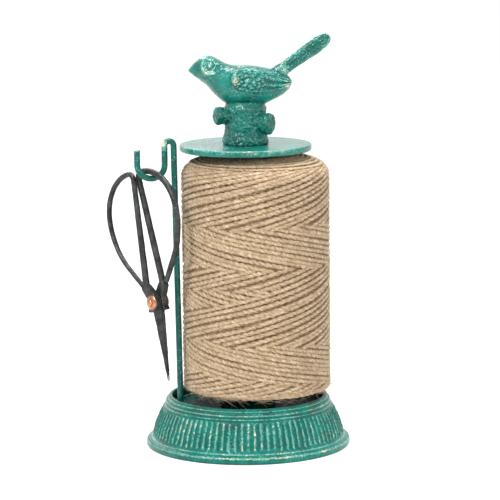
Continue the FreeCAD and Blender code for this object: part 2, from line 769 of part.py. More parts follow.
def make_spool():
    """The wound body of the twine and the cardboard tube inside it, both round the spool's own axis."""
    place = Vector(place_of(SPOOL_OFFSET), 0, 0)
    body = body_named("core")
    skin = "(dims.twine_diameter + dims.twine_clearance)"
    bore = "dims.tube_radius + dims.twine_clearance"
    low = f"(dims.spool_bottom_rounding - {skin})"
    high = f"(dims.spool_top_rounding - {skin})"
    side = f"({SPOOL} - {skin})"
    corners = [(bore, f"{SPOOL_BOTTOM} + {skin}")]
    corners += [(f"{side} - {low} * {1 - math.sin(turn):.6f}",
                 f"{SPOOL_BOTTOM} + {skin} + {low} * {1 - math.cos(turn):.6f}")
                for turn in (0, math.pi / 4, math.pi / 2)]
    corners += [(f"{side} - {high} * {1 - math.cos(turn):.6f}",
                 f"{SPOOL_TOP} - {skin} - {high} * {1 - math.sin(turn):.6f}")
                for turn in (0, math.pi / 6, math.pi / 3, math.pi / 2)]
    corners.append((bore, f"{SPOOL_TOP} - {skin}"))
    revolved(body, "wound", corners)
    body.Placement.Base = place
    finished(body, "twine_core")
    ring("core_tube", "dims.tube_radius", "dims.tube_radius - dims.tube_wall",
         "dims.spool_height", place + Vector(0, 0, place_of(SPOOL_BOTTOM)))
    make_winding()


def bow_edges(side):
    """The handle's path in the scissors' own plane: up the inner strand, over the top, round to the tail."""
    height = side * size("half_thickness") / 2

    def flat(across, along):
        return Vector(side * -across, along, height)

    foot = (size("strand_foot"), size("lug_height") - size("strand_sink"))
    corner = (size("bow_crown"), size("bow_top") - size("bow_corner_radius"))
    crown = (size("bow_crown"), size("bow_top") - size("bow_crown_radius"))
    reach = crown[0] + size("bow_crown_radius")
    flank = (reach - size("bow_side_radius"), crown[1])
    run = (corner[0] - foot[0], corner[1] - foot[1])
    aim = math.atan2(run[1], run[0]) + math.asin(size("bow_corner_radius") / math.hypot(*run))
    lean = math.degrees(aim) + 90
    first_arc = arc_about(corner, size("bow_corner_radius"), lean, 90, flat)
    crown_arc = arc_about(crown, size("bow_crown_radius"), 90, 0, flat)
    flank_arc = arc_about(flank, size("bow_side_radius"), 0, -size("bow_side_turn"), flat)
    tail_start = flank_arc.valueAt(flank_arc.LastParameter)
    tail_end = tail_start + flank_arc.tangentAt(flank_arc.LastParameter) * size("bow_tail_length")
    return [
        line(flat(*foot), first_arc.valueAt(first_arc.FirstParameter)),
        first_arc,
        crown_arc,
        flank_arc,
        line(tail_start, tail_end),
    ]


def hung_placement(pieces):
    """Where the scissors hang: on the hook's wire, leaning, with their centre of mass under the contact.

    In the scissors' own frame Y runs up the handles, Z faces the front and the pivot is the origin.
    """
    yaw = math.radians(size("scissors_yaw"))
    lean = math.radians(size("scissors_tilt"))
    facing = Vector(-math.sin(yaw), -math.cos(yaw), 0)
    across = Vector(math.cos(yaw), -math.sin(yaw), 0)
    turned = FreeCAD.Rotation(across * math.cos(lean) + Vector(0, 0, math.sin(lean)),
                              across * -math.sin(lean) + Vector(0, 0, math.cos(lean)), facing, "ZXY")
    volume = sum(piece.Shape.Volume for piece in pieces)
    middle = Vector()
    for piece in pieces:
        for solid in piece.Shape.Solids:
            middle += solid.CenterOfMass * (solid.Volume / volume)
    crown = Vector(size("bow_crown"), size("bow_top") - size("bow_crown_radius"), -size("half_thickness") / 2)
    shift = turned.multVec(middle - crown).dot(across)
    slope = lean + math.asin(shift / size("bow_crown_radius"))
    contact = crown + Vector(math.sin(slope), math.cos(slope), 0) * size("bow_crown_radius")
    wire = Vector(-place_of(HOOK_REACH), -size("hook_forward"), place_of(HOOK_HEIGHT) - size("hook_radius"))
    strand = wire + Vector(0, 0, size("wire_radius") + size("contact_gap") + size("strand_radius"))
    print(f"scissors: the crown slopes {math.degrees(slope - lean):.1f} degrees at the hook")
    print(f"scissors: swing centre {wire.x:.3f} {wire.y:.3f} {wire.z:.3f}")
    return FreeCAD.Placement(strand - turned.multVec(contact), turned)


def make_half(label, side):
    """One forged half. Side +1 is the front half, its bow on the left, and -1 the rear half, on the hook."""
    body = body_named(label)
    mirror = -side
    inner = size("half_gap") / 2
    lift = inner if side > 0 else -size("half_thickness")

    def point(across, along):
        return (f"{mirror} * ({across})", along)

    edge = "dims.edge_round"
    lug = [
        point("-dims.blade_width / 2", "-dims.lug_radius"),
        point(f"dims.blade_width / 2 + 1.5 * {edge}", f"-dims.lug_radius - 1.5 * {edge}"),
        point(f"dims.lug_radius + 2.25 * {edge}", f"-dims.lug_radius - {edge} / 2"),
        point("dims.lug_radius", "-dims.lug_radius / 2"),
        point(f"dims.lug_radius + {edge} / 2", "dims.lug_radius / 2"),
        point("dims.strand_foot + dims.lug_width / 2", f"dims.lug_height - 5 * {edge}"),
        point(f"dims.strand_foot + dims.lug_width / 2 - 2.5 * {edge}", "dims.lug_height"),
        point(f"dims.strand_foot - dims.lug_width / 2 + 2.5 * {edge}", f"dims.lug_height + 1.5 * {edge}"),
        point("-dims.lug_radius / 2", "dims.lug_radius"),
        point("-dims.lug_radius", "dims.lug_radius / 3"),
        point("-dims.lug_radius", "-dims.lug_radius / 3"),
    ]
    if mirror < 0:
        lug.reverse()
    pad = body.newObject("PartDesign::Pad", label + "_lug")
    pad.Profile = outline(sketch_on(body, label + "_lug_outline", "XY_Plane", lift), lug)
    pad.setExpression("Length", "dims.half_thickness - dims.half_gap / 2")
    set_over = math.tan(math.radians(size("blade_set")))
    low = f"{side} * dims.half_gap / 2"
    sections = []
    ends = [("heel", size("blade_heel"), 1.0, 1.0), ("tip", size("blade_length"), 0.16, 0.4)]
    for name, drop, share, thick in ends:
        sketch = sketch_on(body, f"{label}_{name}", "XZ_Plane", drop)
        half = f"(dims.blade_width / 2 * {share})"
        middle = f"(-{drop * set_over:.6f})"
        rise = f"{side} * (dims.half_gap / 2 + dims.blade_thickness * {thick})"
        edge = f"{side} * (dims.half_gap / 2 + dims.blade_thickness * {thick * 0.25})"
        corners = [
            (f"{middle} - {mirror} * {half}", low),
            (f"{middle} + {mirror} * {half}", low),
            (f"{middle} + {mirror} * {half}", rise),
            (f"{middle} - {mirror} * {half}", edge),
        ]
        sections.append(outline(sketch, corners))
    blade = body.newObject("PartDesign::AdditiveLoft", label + "_blade")
    blade.Profile = sections[0]
    blade.Sections = sections[1:]
    blade.Ruled = True
    bored(body, label + "_hole", "dims.rivet_radius + dims.rivet_clearance")
    bow = feature(label + "_bow", swept(bow_edges(side), Vector(0, 0, 1), size("strand_radius"),
                                        int(size("strand_sides"))))
    whole = doc.addObject("Part::Fuse", label + "_whole")
    whole.Base = body
    whole.Tool = bow
    finished(whole, label)
    return whole


def make_scissors():
    """Both halves, the rivet and its two domed washers, laid flat and then hung in their place."""
    pieces = [make_half("scissors_rear_half", -1), make_half("scissors_front_half", 1)]
    face = "(dims.half_thickness)"
    dome_top = "(dims.half_thickness + dims.dome_height)"
    rivet = body_named("rivet")
    end = f"({dome_top} + dims.rivet_head_height)"
    revolved(rivet, "rivet_form", [
        ("0", f"-{end}"),
        ("dims.rivet_head_radius * 0.6", f"-{end}"),
        ("dims.rivet_head_radius", f"-{dome_top} - dims.rivet_head_height / 3"),
        ("dims.rivet_head_radius", f"-{dome_top}"),
        ("dims.rivet_radius", f"-{dome_top}"),
        ("dims.rivet_radius", dome_top),
        ("dims.rivet_head_radius", dome_top),
        ("dims.rivet_head_radius", f"{dome_top} + dims.rivet_head_height / 3"),
        ("dims.rivet_head_radius * 0.6", end),
        ("0", end),
    ])
    pieces.append(finished(rivet, "scissors_rivet"))
    for label, side in (("front_washer", 1), ("rear_washer", -1)):
        dome = body_named(label)
        corners = [
            ("dims.rivet_radius + dims.rivet_clearance", f"{side} * {face}"),
            ("dims.dome_radius", f"{side} * {face}"),
            ("dims.dome_radius", f"{side} * ({face} + dims.dome_edge)"),
            ("dims.dome_radius * 0.82", f"{side} * ({face} + dims.dome_height * 0.75)"),
            ("dims.rivet_head_radius", f"{side} * {dome_top}"),
            ("dims.rivet_radius + dims.rivet_clearance", f"{side} * {dome_top}"),
        ]
        revolved(dome, label + "_form", corners if side > 0 else corners[::-1])
        pieces.append(finished(dome, label))
    doc.recompute()
    place = hung_placement(pieces)
    for piece in pieces:
        piece.Placement = place
    facing = place.Rotation.multVec(Vector(0, 0, 1))
    for name, spot in (("pivot", place.Base), ("pivot axis", facing)):
        print(f"scissors: {name} {spot.x:.3f} {spot.y:.3f} {spot.z:.3f}")


make_base()
make_spindle_set()
make_top_plate()
make_bird()
make_hook_rod()
make_spool()
make_scissors()
doc.recompute()

for thing in doc.Objects:
    if "Invalid" in thing.State or "Error" in thing.State:
        raise SystemExit(f"{thing.Label} failed to build")
for thing in parts:
    if thing.Shape.isNull() or not thing.Shape.isValid():
        raise SystemExit(f"{thing.Label} has no valid shape")
os.makedirs("parts", exist_ok=True)
for thing in parts:
    thing.Shape.exportStep(f"parts/{thing.Label}.step")
print(f"{len(parts)} sub-parts written")
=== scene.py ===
"""Twine holder: enamelled cast base, spool of jute, plate, bird finial, wire hook and forged scissors.

Lengths are in metres. +Z is up, -Y is the front and the origin is the centre of the foot's underside.
"""
import json
import math
import random

import bmesh
import bpy
import numpy as np
from mathutils import Matrix, Vector, noise


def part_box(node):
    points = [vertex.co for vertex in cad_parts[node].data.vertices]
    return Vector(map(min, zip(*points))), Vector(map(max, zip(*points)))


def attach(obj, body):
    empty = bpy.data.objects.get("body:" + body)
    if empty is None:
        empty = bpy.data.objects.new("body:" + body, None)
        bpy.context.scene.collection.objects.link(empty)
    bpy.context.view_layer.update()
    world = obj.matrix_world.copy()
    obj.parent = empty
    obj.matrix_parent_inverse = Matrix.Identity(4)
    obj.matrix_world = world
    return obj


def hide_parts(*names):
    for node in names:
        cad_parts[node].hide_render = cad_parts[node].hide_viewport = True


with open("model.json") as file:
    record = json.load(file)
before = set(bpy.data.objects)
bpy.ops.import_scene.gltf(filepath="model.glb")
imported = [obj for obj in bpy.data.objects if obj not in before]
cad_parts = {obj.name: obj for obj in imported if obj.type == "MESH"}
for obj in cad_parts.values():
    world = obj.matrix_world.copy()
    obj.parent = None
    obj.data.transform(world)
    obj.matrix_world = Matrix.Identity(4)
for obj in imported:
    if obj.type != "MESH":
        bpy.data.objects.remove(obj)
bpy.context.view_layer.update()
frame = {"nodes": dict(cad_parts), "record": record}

MM = 0.001

# Camera, fitted to the ellipses of foot, plate and spool in a 500 by 500 frame
CAMERA_DISTANCE = 1.684
CAMERA_HEIGHT = 0.3862
CAMERA_PITCH = math.radians(8.918)
CAMERA_ROLL = math.radians(-0.54)
FOCAL_PIXELS = 2748.6
AXIS_PIXEL_SHIFT = 3.45
FRAME_PIXELS = 500
SENSOR_WIDTH = 36.0

# Places taken from the frame
base_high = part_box("base_casting")[1]
plate_low, plate_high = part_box("top_plate")
tube_low, tube_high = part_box("core_tube")
wound_low, wound_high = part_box("twine_winding")
rod_low, rod_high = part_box("hook_rod")
FOOT = base_high.x
PLATE_TOP = plate_high.z
SPOOL_X = (wound_low.x + wound_high.x) / 2
SPOOL_RADIUS = (wound_high.x - wound_low.x) / 2
SPOOL_BOTTOM = tube_low.z
SPOOL_TOP = tube_high.z
TUBE_RADIUS = (tube_high.x - tube_low.x) / 2
joints = {joint["name"]: joint for joint in frame["record"]["behaviour"]["joints"]}


def fractal(point, size, octaves=3, seed=0.0):
    """Smooth noise from about -1 to 1 whose largest features measure size."""
    return noise.fractal(Vector(point) / size + Vector((seed, -seed, 2 * seed)), 0.6, 2.1, octaves)


def smoothstep(low, high, value):
    share = min(max((value - low) / (high - low), 0.0), 1.0)
    return share * share * (3 - 2 * share)


def make_camera():
    data = bpy.data.cameras.new("camera")
    data.sensor_width = SENSOR_WIDTH
    data.lens = SENSOR_WIDTH * FOCAL_PIXELS / FRAME_PIXELS
    data.shift_x = AXIS_PIXEL_SHIFT / FRAME_PIXELS
    data.clip_end = 100.0
    camera = bpy.data.objects.new("camera", data)
    bpy.context.collection.objects.link(camera)
    turn = Matrix.Rotation(math.pi / 2 - CAMERA_PITCH, 4, "X") @ Matrix.Rotation(CAMERA_ROLL, 4, "Z")
    camera.matrix_world = Matrix.Translation((0, -CAMERA_DISTANCE, CAMERA_HEIGHT)) @ turn
    bpy.context.scene.camera = camera
    bpy.context.scene.view_settings.view_transform = "Standard"


def area_light(name, place, target, size, power):
    data = bpy.data.lights.new(name, "AREA")
    data.shape = "SQUARE"
    data.size = size
    data.energy = power
    light = bpy.data.objects.new(name, data)
    bpy.context.collection.objects.link(light)
    light.location = place
    light.rotation_euler = (Vector(target) - Vector(place)).to_track_quat("-Z", "Y").to_euler()


def make_lights():
    middle = (0, 0, 0.13)
    area_light("key", (-0.75, -1.05, 1.3), middle, 0.34, 21.0)
    area_light("fill", (1.2, -1.2, 0.6), middle, 0.5, 7.0)
    area_light("top", (0.15, 0.1, 1.5), middle, 0.40, 16.0)
    area_light("back", (-0.4, 1.3, 1.1), middle, 0.7, 8.0)


def add(tree, kind, **settings):
    """A shader node with its settings; a setting that names a socket sets that socket's own value."""
    made = tree.nodes.new(kind)
    for name, value in settings.items():
        if hasattr(made, name):
            setattr(made, name, value)
        else:
            made.inputs[name.replace("_", " ")].default_value = value
    return made


def wire(tree, *pairs):
    """Links given as (output socket, input socket)."""
    for start, end in pairs:
        tree.links.new(start, end)


def new_group(name, inputs, outputs):
    """An empty node group with named float and vector sockets."""
    group = bpy.data.node_groups.new(name, "ShaderNodeTree")
    for title, kind, value in inputs:
        socket = group.interface.new_socket(name=title, in_out="INPUT", socket_type=kind)
        if value is not None:
            socket.default_value = value
    for title, kind in outputs:
        group.interface.new_socket(name=title, in_out="OUTPUT", socket_type=kind)
    return group, group.nodes.new("NodeGroupInput"), group.nodes.new("NodeGroupOutput")


FLOAT = "NodeSocketFloat"
VECTOR = "NodeSocketVector"


# Weight of the fine flecks against the patches, the middle of the two, and how sharply the finish ends
FLECK_WEIGHT = 1.4
RUB_MIDDLE = 1.2
RUB_SHARPNESS = 6.0


def make_rub_group():
    """Edge wear: where the surface stands proud and a patchy noise agrees, the finish is rubbed away."""
    group, given, result = new_group(
        "rubbed_edges",
        [("Raised", FLOAT, 0.0), ("Start", FLOAT, 0.5), ("Patch Size", FLOAT, 90.0),
         ("Patchiness", FLOAT, 0.5)],
        [("Rub", FLOAT)])
    place = add(group, "ShaderNodeTexCoord")
    patches = add(group, "ShaderNodeTexNoise", Detail=3.0, Roughness=0.65)
    flecks = add(group, "ShaderNodeTexNoise", Scale=1000.0, Detail=3.0)
    both = add(group, "ShaderNodeMath", operation="MULTIPLY_ADD")
    both.inputs[1].default_value = FLECK_WEIGHT
    level = add(group, "ShaderNodeMath", operation="SUBTRACT")
    level.inputs[1].default_value = RUB_MIDDLE
    spread = add(group, "ShaderNodeMath", operation="MULTIPLY")
    total = add(group, "ShaderNodeMath", operation="ADD")
    past = add(group, "ShaderNodeMath", operation="SUBTRACT")
    sharp = add(group, "ShaderNodeMath", operation="MULTIPLY", use_clamp=True)
    sharp.inputs[1].default_value = RUB_SHARPNESS
    wire(group,
         (place.outputs["Object"], patches.inputs["Vector"]),
         (place.outputs["Object"], flecks.inputs["Vector"]),
         (given.outputs["Patch Size"], patches.inputs["Scale"]),
         (flecks.outputs["Fac"], both.inputs[0]), (patches.outputs["Fac"], both.inputs[2]),
         (both.outputs[0], level.inputs[0]), (level.outputs[0], spread.inputs[0]),
         (given.outputs["Patchiness"], spread.inputs[1]), (spread.outputs[0], total.inputs[0]),
         (given.outputs["Raised"], total.inputs[1]), (total.outputs[0], past.inputs[0]),
         (given.outputs["Start"], past.inputs[1]), (past.outputs[0], sharp.inputs[0]),
         (sharp.outputs[0], result.inputs["Rub"]))
    return group


def make_cast_group():
    """Uneven surface: broad mottling as a value, and a bump normal from fine grain over soft waves."""
    group, given, result = new_group(
        "uneven_surface",
        [("Mottle Size", FLOAT, 60.0), ("Grain Size", FLOAT, 700.0), ("Bump", FLOAT, 0.2)],
        [("Mottle", FLOAT), ("Normal", VECTOR)])
    place = add(group, "ShaderNodeTexCoord")
    mottle = add(group, "ShaderNodeTexNoise", Detail=4.0, Roughness=0.6)
    grain = add(group, "ShaderNodeTexNoise", Detail=3.0, Roughness=0.55)
    bump = add(group, "ShaderNodeBump", Distance=0.0004)
    wire(group,
         (place.outputs["Object"], mottle.inputs["Vector"]),
         (place.outputs["Object"], grain.inputs["Vector"]),
         (given.outputs["Mottle Size"], mottle.inputs["Scale"]),
         (given.outputs["Grain Size"], grain.inputs["Scale"]),
         (grain.outputs["Fac"], bump.inputs["Height"]), (given.outputs["Bump"], bump.inputs["Strength"]),
         (mottle.outputs["Fac"], result.inputs["Mottle"]), (bump.outputs["Normal"], result.inputs["Normal"]))
    return group


rub_group = make_rub_group()
cast_group = make_cast_group()


def placed(tree, group, **values):
    made = tree.nodes.new("ShaderNodeGroup")
    made.node_tree = group
    for name, value in values.items():
        made.inputs[name.replace("_", " ")].default_value = value
    return made


def new_material(name, **shader_values):
    """A material with its Principled shader, whose named sockets get the values given."""
    material = bpy.data.materials.new(name)
    material.use_nodes = True
    tree = material.node_tree
    shader = tree.nodes["Principled BSDF"]
    for title, value in shader_values.items():
        shader.inputs[title.replace("_", " ")].default_value = value
    return material, tree, shader


def ramp(tree, source, stops):
    """A colour ramp fed by source, with stops as (position, colour)."""
    made = add(tree, "ShaderNodeValToRGB")
    elements = made.color_ramp.elements
    while len(elements) < len(stops):
        elements.new(0.5)
    for element, (position, colour) in zip(elements, stops):
        element.position = position
        element.color = (*colour, 1.0)
    wire(tree, (source, made.inputs["Fac"]))
    return made.outputs["Color"]


def mixed(tree, factor, first, second):
    """First where factor is 0 and second where it is 1; each is a socket or a colour."""
    made = add(tree, "ShaderNodeMix", data_type="RGBA")
    for source, socket in ((factor, made.inputs[0]), (first, made.inputs[6]), (second, made.inputs[7])):
        if isinstance(source, bpy.types.NodeSocket):
            wire(tree, (source, socket))
        elif isinstance(source, float):
            socket.default_value = source
        else:
            socket.default_value = (*source, 1.0)
    return made.outputs[2]


def mapped(tree, source, low, high):
    """The source, from 0 to 1, read as low to high."""
    made = add(tree, "ShaderNodeMapRange")
    made.inputs["To Min"].default_value = low
    made.inputs["To Max"].default_value = high
    wire(tree, (source, made.inputs["Value"]))
    return made.outputs["Result"]


# The darkest enamel colour is painted shade, put in hollows and in the base's recess
ENAMEL_PAINTED_SHADE = (0.0005, 0.040, 0.031)
ENAMEL_DEEP = (0.001, 0.115, 0.088)
ENAMEL = (0.002, 0.205, 0.160)
ENAMEL_PALE = (0.16, 0.44, 0.37)
RUBBED_GOLD = (0.80, 0.68, 0.44)
RUBBED_BRONZE = (0.52, 0.36, 0.20)
# The pale film, partly real and partly painted glints, starts before the gold does, in larger patches, and
# covers a share of the enamel
FILM_AND_GLINT_EARLIER = 0.6
FILM_AND_GLINT_PATCH = 1.7
FILM_AND_GLINT_SHARE = 0.6


def make_enamel(name, start, patch_size, patchiness, bump, gloss, tone=1.0):
    """Teal enamel with painted shade in its hollows, a pale film where it stands proud that is partly real
    and partly painted glints, and rubbed to gold above that.
    """
    material, tree, shader = new_material(name, Coat_Roughness=0.12)
    raised = add(tree, "ShaderNodeAttribute", attribute_name="raised")
    hollow = add(tree, "ShaderNodeAttribute", attribute_name="hollow")
    rub = placed(tree, rub_group, Start=start, Patch_Size=patch_size, Patchiness=patchiness)
    # The pale film on proud parts is partly a real film and partly painted glints
    film_and_glints = placed(tree, rub_group, Start=start - FILM_AND_GLINT_EARLIER, Patch_Size=patch_size * FILM_AND_GLINT_PATCH,
                  Patchiness=patchiness)
    cast = placed(tree, cast_group, Mottle_Size=110.0, Grain_Size=850.0, Bump=bump)
    deep, full = (tuple(tone * part for part in colour) for colour in (ENAMEL_DEEP, ENAMEL))
    film = ramp(tree, cast.outputs["Mottle"], [(0.36, deep), (0.62, full)])
    # Painted shade: hollows and the base's recess go dark
    hollows_in_painted_shade = mixed(tree, hollow.outputs["Fac"], film, ENAMEL_PAINTED_SHADE)
    film_and_glint_amount = add(tree, "ShaderNodeMath", operation="MULTIPLY")
    film_and_glint_amount.inputs[1].default_value = FILM_AND_GLINT_SHARE
    pale = mixed(tree, film_and_glint_amount.outputs[0], hollows_in_painted_shade, ENAMEL_PALE)
    metal = ramp(tree, cast.outputs["Mottle"], [(0.38, RUBBED_BRONZE), (0.52, RUBBED_GOLD)])
    wire(tree,
         (raised.outputs["Fac"], rub.inputs["Raised"]), (raised.outputs["Fac"], film_and_glints.inputs["Raised"]),
         (film_and_glints.outputs["Rub"], film_and_glint_amount.inputs[0]),
         (mixed(tree, rub.outputs["Rub"], pale, metal), shader.inputs["Base Color"]),
         (mapped(tree, rub.outputs["Rub"], 0.0, 0.35), shader.inputs["Metallic"]),
         # Specular and coat fall away in the hollows too, as part of the painted shade
         (mapped(tree, hollow.outputs["Fac"], 0.25, 0.03), shader.inputs["Specular IOR Level"]),
         (mapped(tree, hollow.outputs["Fac"], gloss, 0.0), shader.inputs["Coat Weight"]),
         (mapped(tree, cast.outputs["Mottle"], 0.12, 0.36), shader.inputs["Roughness"]),
         (cast.outputs["Normal"], shader.inputs["Normal"]),
         (cast.outputs["Normal"], shader.inputs["Coat Normal"]))
    return material


def make_metal(name, dark, light, metallic, rough, start, bump):
    """Bare or blackened metal: mottled between dark and light, lighter where it is rubbed."""
    material, tree, shader = new_material(name, Metallic=metallic)
    raised = add(tree, "ShaderNodeAttribute", attribute_name="raised")
    rub = placed(tree, rub_group, Start=start, Patch_Size=160.0, Patchiness=0.7)
    cast = placed(tree, cast_group, Mottle_Size=180.0, Grain_Size=1100.0, Bump=bump)
    body = ramp(tree, cast.outputs["Mottle"], [(0.35, dark), (0.7, light)])
    worn = tuple(min(1.0, 2.2 * part) for part in light)
    wire(tree,
         (raised.outputs["Fac"], rub.inputs["Raised"]),
         (mixed(tree, rub.outputs["Rub"], body, worn), shader.inputs["Base Color"]),
         (mapped(tree, cast.outputs["Mottle"], rough, rough + 0.15), shader.inputs["Roughness"]),
         (cast.outputs["Normal"], shader.inputs["Normal"]))
    return material


# How far the fibres' noise breaks the painted shade between strands, and the range that the painted shade
# spans
FRAY = 1.2
FRAY_LOW = 0.1
FRAY_HIGH = 1.45


def make_jute():
    """Jute: straw-coloured fibres that follow each ply, with painted shade on the sides that face its
    neighbours.
    """
    material, tree, shader = new_material(
        "jute", Sheen_Weight=0.2, Sheen_Roughness=0.5, Specular_IOR_Level=0.25)
    lay = add(tree, "ShaderNodeAttribute", attribute_name="lay")
    shown = add(tree, "ShaderNodeAttribute", attribute_name="shown")
    fibres = add(tree, "ShaderNodeTexNoise", Scale=1.0, Detail=4.0, Roughness=0.7)
    lengths = add(tree, "ShaderNodeTexNoise", Scale=0.11, Detail=2.0)
    stretch = add(tree, "ShaderNodeVectorMath", operation="MULTIPLY")
    stretch.inputs[1].default_value = (0.42, 2.4, 2.4)
    straw = ramp(tree, fibres.outputs["Fac"],
                 [(0.36, (0.33, 0.215, 0.12)), (0.5, (0.575, 0.425, 0.272)), (0.64, (0.90, 0.76, 0.57))])
    shade = ramp(tree, lengths.outputs["Fac"], [(0.3, (0.74, 0.66, 0.52)), (0.6, (1.0, 1.0, 1.0))])
    frayed = add(tree, "ShaderNodeMath", operation="MULTIPLY_ADD")
    frayed.inputs[1].default_value = FRAY
    depth = add(tree, "ShaderNodeMapRange")
    depth.inputs["From Min"].default_value = FRAY_LOW
    depth.inputs["From Max"].default_value = FRAY_HIGH
    # Painted shade between plies and strands, from the shown mark broken by the fibres' noise
    painted_crevice_shade = ramp(tree, depth.outputs["Result"], [(0.0, (0.24, 0.18, 0.12)), (0.5, (0.78, 0.74, 0.69)),
                                                   (1.0, (1.0, 1.0, 1.0))])
    tinted = add(tree, "ShaderNodeMix", data_type="RGBA", blend_type="MULTIPLY")
    tinted.inputs[0].default_value = 0.8
    shaded = add(tree, "ShaderNodeMix", data_type="RGBA", blend_type="MULTIPLY")
    shaded.inputs[0].default_value = 1.0
    bump = add(tree, "ShaderNodeBump", Strength=0.7, Distance=0.0003)
    wire(tree,
         (lay.outputs["Vector"], stretch.inputs[0]), (stretch.outputs[0], fibres.inputs["Vector"]),
         (lay.outputs["Vector"], lengths.inputs["Vector"]), (fibres.outputs["Fac"], frayed.inputs[0]),
         (shown.outputs["Fac"], frayed.inputs[2]), (frayed.outputs[0], depth.inputs["Value"]),
         (straw, tinted.inputs[6]), (shade, tinted.inputs[7]),
         (tinted.outputs[2], shaded.inputs[6]), (painted_crevice_shade, shaded.inputs[7]),
         (shaded.outputs[2], shader.inputs["Base Color"]),
         (mapped(tree, fibres.outputs["Fac"], 0.95, 0.7), shader.inputs["Roughness"]),
         (fibres.outputs["Fac"], bump.inputs["Height"]), (bump.outputs["Normal"], shader.inputs["Normal"]))
    return material


def make_cardboard():
    material, tree, shader = new_material("cardboard", Specular_IOR_Level=0.25)
    cast = placed(tree, cast_group, Mottle_Size=220.0, Grain_Size=1600.0, Bump=0.25)
    paper = ramp(tree, cast.outputs["Mottle"], [(0.3, (0.22, 0.14, 0.08)), (0.7, (0.38, 0.27, 0.17))])
    wire(tree,
         (paper, shader.inputs["Base Color"]),
         (mapped(tree, cast.outputs["Mottle"], 0.95, 0.8), shader.inputs["Roughness"]),
         (cast.outputs["Normal"], shader.inputs["Normal"]))
    return material


def seen_rays(tree):
    """1 for rays from the camera, from reflections and through glass, and 0 for the rest."""
    path = add(tree, "ShaderNodeLightPath")
    seen = add(tree, "ShaderNodeMath", operation="MAXIMUM")
    seen_through = add(tree, "ShaderNodeMath", operation="MAXIMUM")
    wire(tree,
         (path.outputs["Is Camera Ray"], seen.inputs[0]), (path.outputs["Is Glossy Ray"], seen.inputs[1]),
         (seen.outputs[0], seen_through.inputs[0]),
         (path.outputs["Is Transmission Ray"], seen_through.inputs[1]))
    return seen_through.outputs[0]


# Share of the floor's own glow in what the camera sees, the glow's strength, and the sky's strength as light
FLOOR_GLOW_SHARE = 0.55
FLOOR_GLOW = 1.42
SKY_LIGHT = 0.48
FLOOR_HALF = 20.0


def make_floor_material():
    """Pale floor: white to the camera and to reflections, though the object's shadow stays on it."""
    material, tree, shader = new_material("floor", Base_Color=(0.93, 0.93, 0.93, 1.0), Roughness=0.9)
    share = add(tree, "ShaderNodeMath", operation="MULTIPLY")
    share.inputs[1].default_value = FLOOR_GLOW_SHARE
    glow = add(tree, "ShaderNodeEmission", Color=(1.0, 1.0, 1.0, 1.0), Strength=FLOOR_GLOW)
    blend = add(tree, "ShaderNodeMixShader")
    wire(tree,
         (seen_rays(tree), share.inputs[0]), (share.outputs[0], blend.inputs["Fac"]),
         (shader.outputs[0], blend.inputs[1]), (glow.outputs[0], blend.inputs[2]),
         (blend.outputs[0], tree.nodes["Material Output"].inputs["Surface"]))
    return material


def make_world():
    """White to the camera and to reflections, and a plain grey sky for the light itself."""
    world = bpy.data.worlds.new("studio")
    world.use_nodes = True
    bpy.context.scene.world = world
    tree = world.node_tree
    sky = tree.nodes["Background"]
    wire(tree, (mapped(tree, seen_rays(tree), SKY_LIGHT, 1.0), sky.inputs["Strength"]))
    sky.inputs["Color"].default_value = (1.0, 1.0, 1.0, 1.0)


def make_floor():
    half = FLOOR_HALF
    corners = [(-half, -half, 0), (half, -half, 0), (half, half, 0), (-half, half, 0)]
    mesh = bpy.data.meshes.new("floor")
    mesh.from_pydata(corners, [], [(0, 1, 2, 3)])
    floor = bpy.data.objects.new("floor", mesh)
    bpy.context.collection.objects.link(floor)
    mesh.materials.append(make_floor_material())


def mesh_object(name, points, faces, smooth=True):
    mesh = bpy.data.meshes.new(name)
    mesh.from_pydata([tuple(point) for point in points], [], faces)
    mesh.validate()
    mesh.polygons.foreach_set("use_smooth", [smooth] * len(mesh.polygons))
    made = bpy.data.objects.new(name, mesh)
    bpy.context.collection.objects.link(made)
    return made


def points_of(piece):
    flat = np.empty(3 * len(piece.data.vertices))
    piece.data.vertices.foreach_get("co", flat)
    return flat.reshape(-1, 3)


def write_marks(piece, name, values):
    """Write one number for each vertex."""
    piece.data.attributes.new(name, "FLOAT", "POINT").data.foreach_set("value", values)


def write_lay(piece, lay):
    """Write the lay of the fibres, a vector for each vertex."""
    piece.data.attributes.new("lay", "FLOAT_VECTOR", "POINT").data.foreach_set("vector", lay.ravel())


def ring_faces(rings, around, start=0):
    """Faces between rings of points, each ring closed on itself."""
    faces = []
    for ring in range(rings - 1):
        low = start + ring * around
        for step in range(around):
            after = (step + 1) % around
            faces.append((low + step, low + after, low + around + after, low + around + step))
    return faces


def end_faces(rings, around, start=0):
    """The two faces that close the first and the last ring."""
    last = start + (rings - 1) * around
    return [tuple(reversed(range(start, start + around))), tuple(range(last, last + around))]


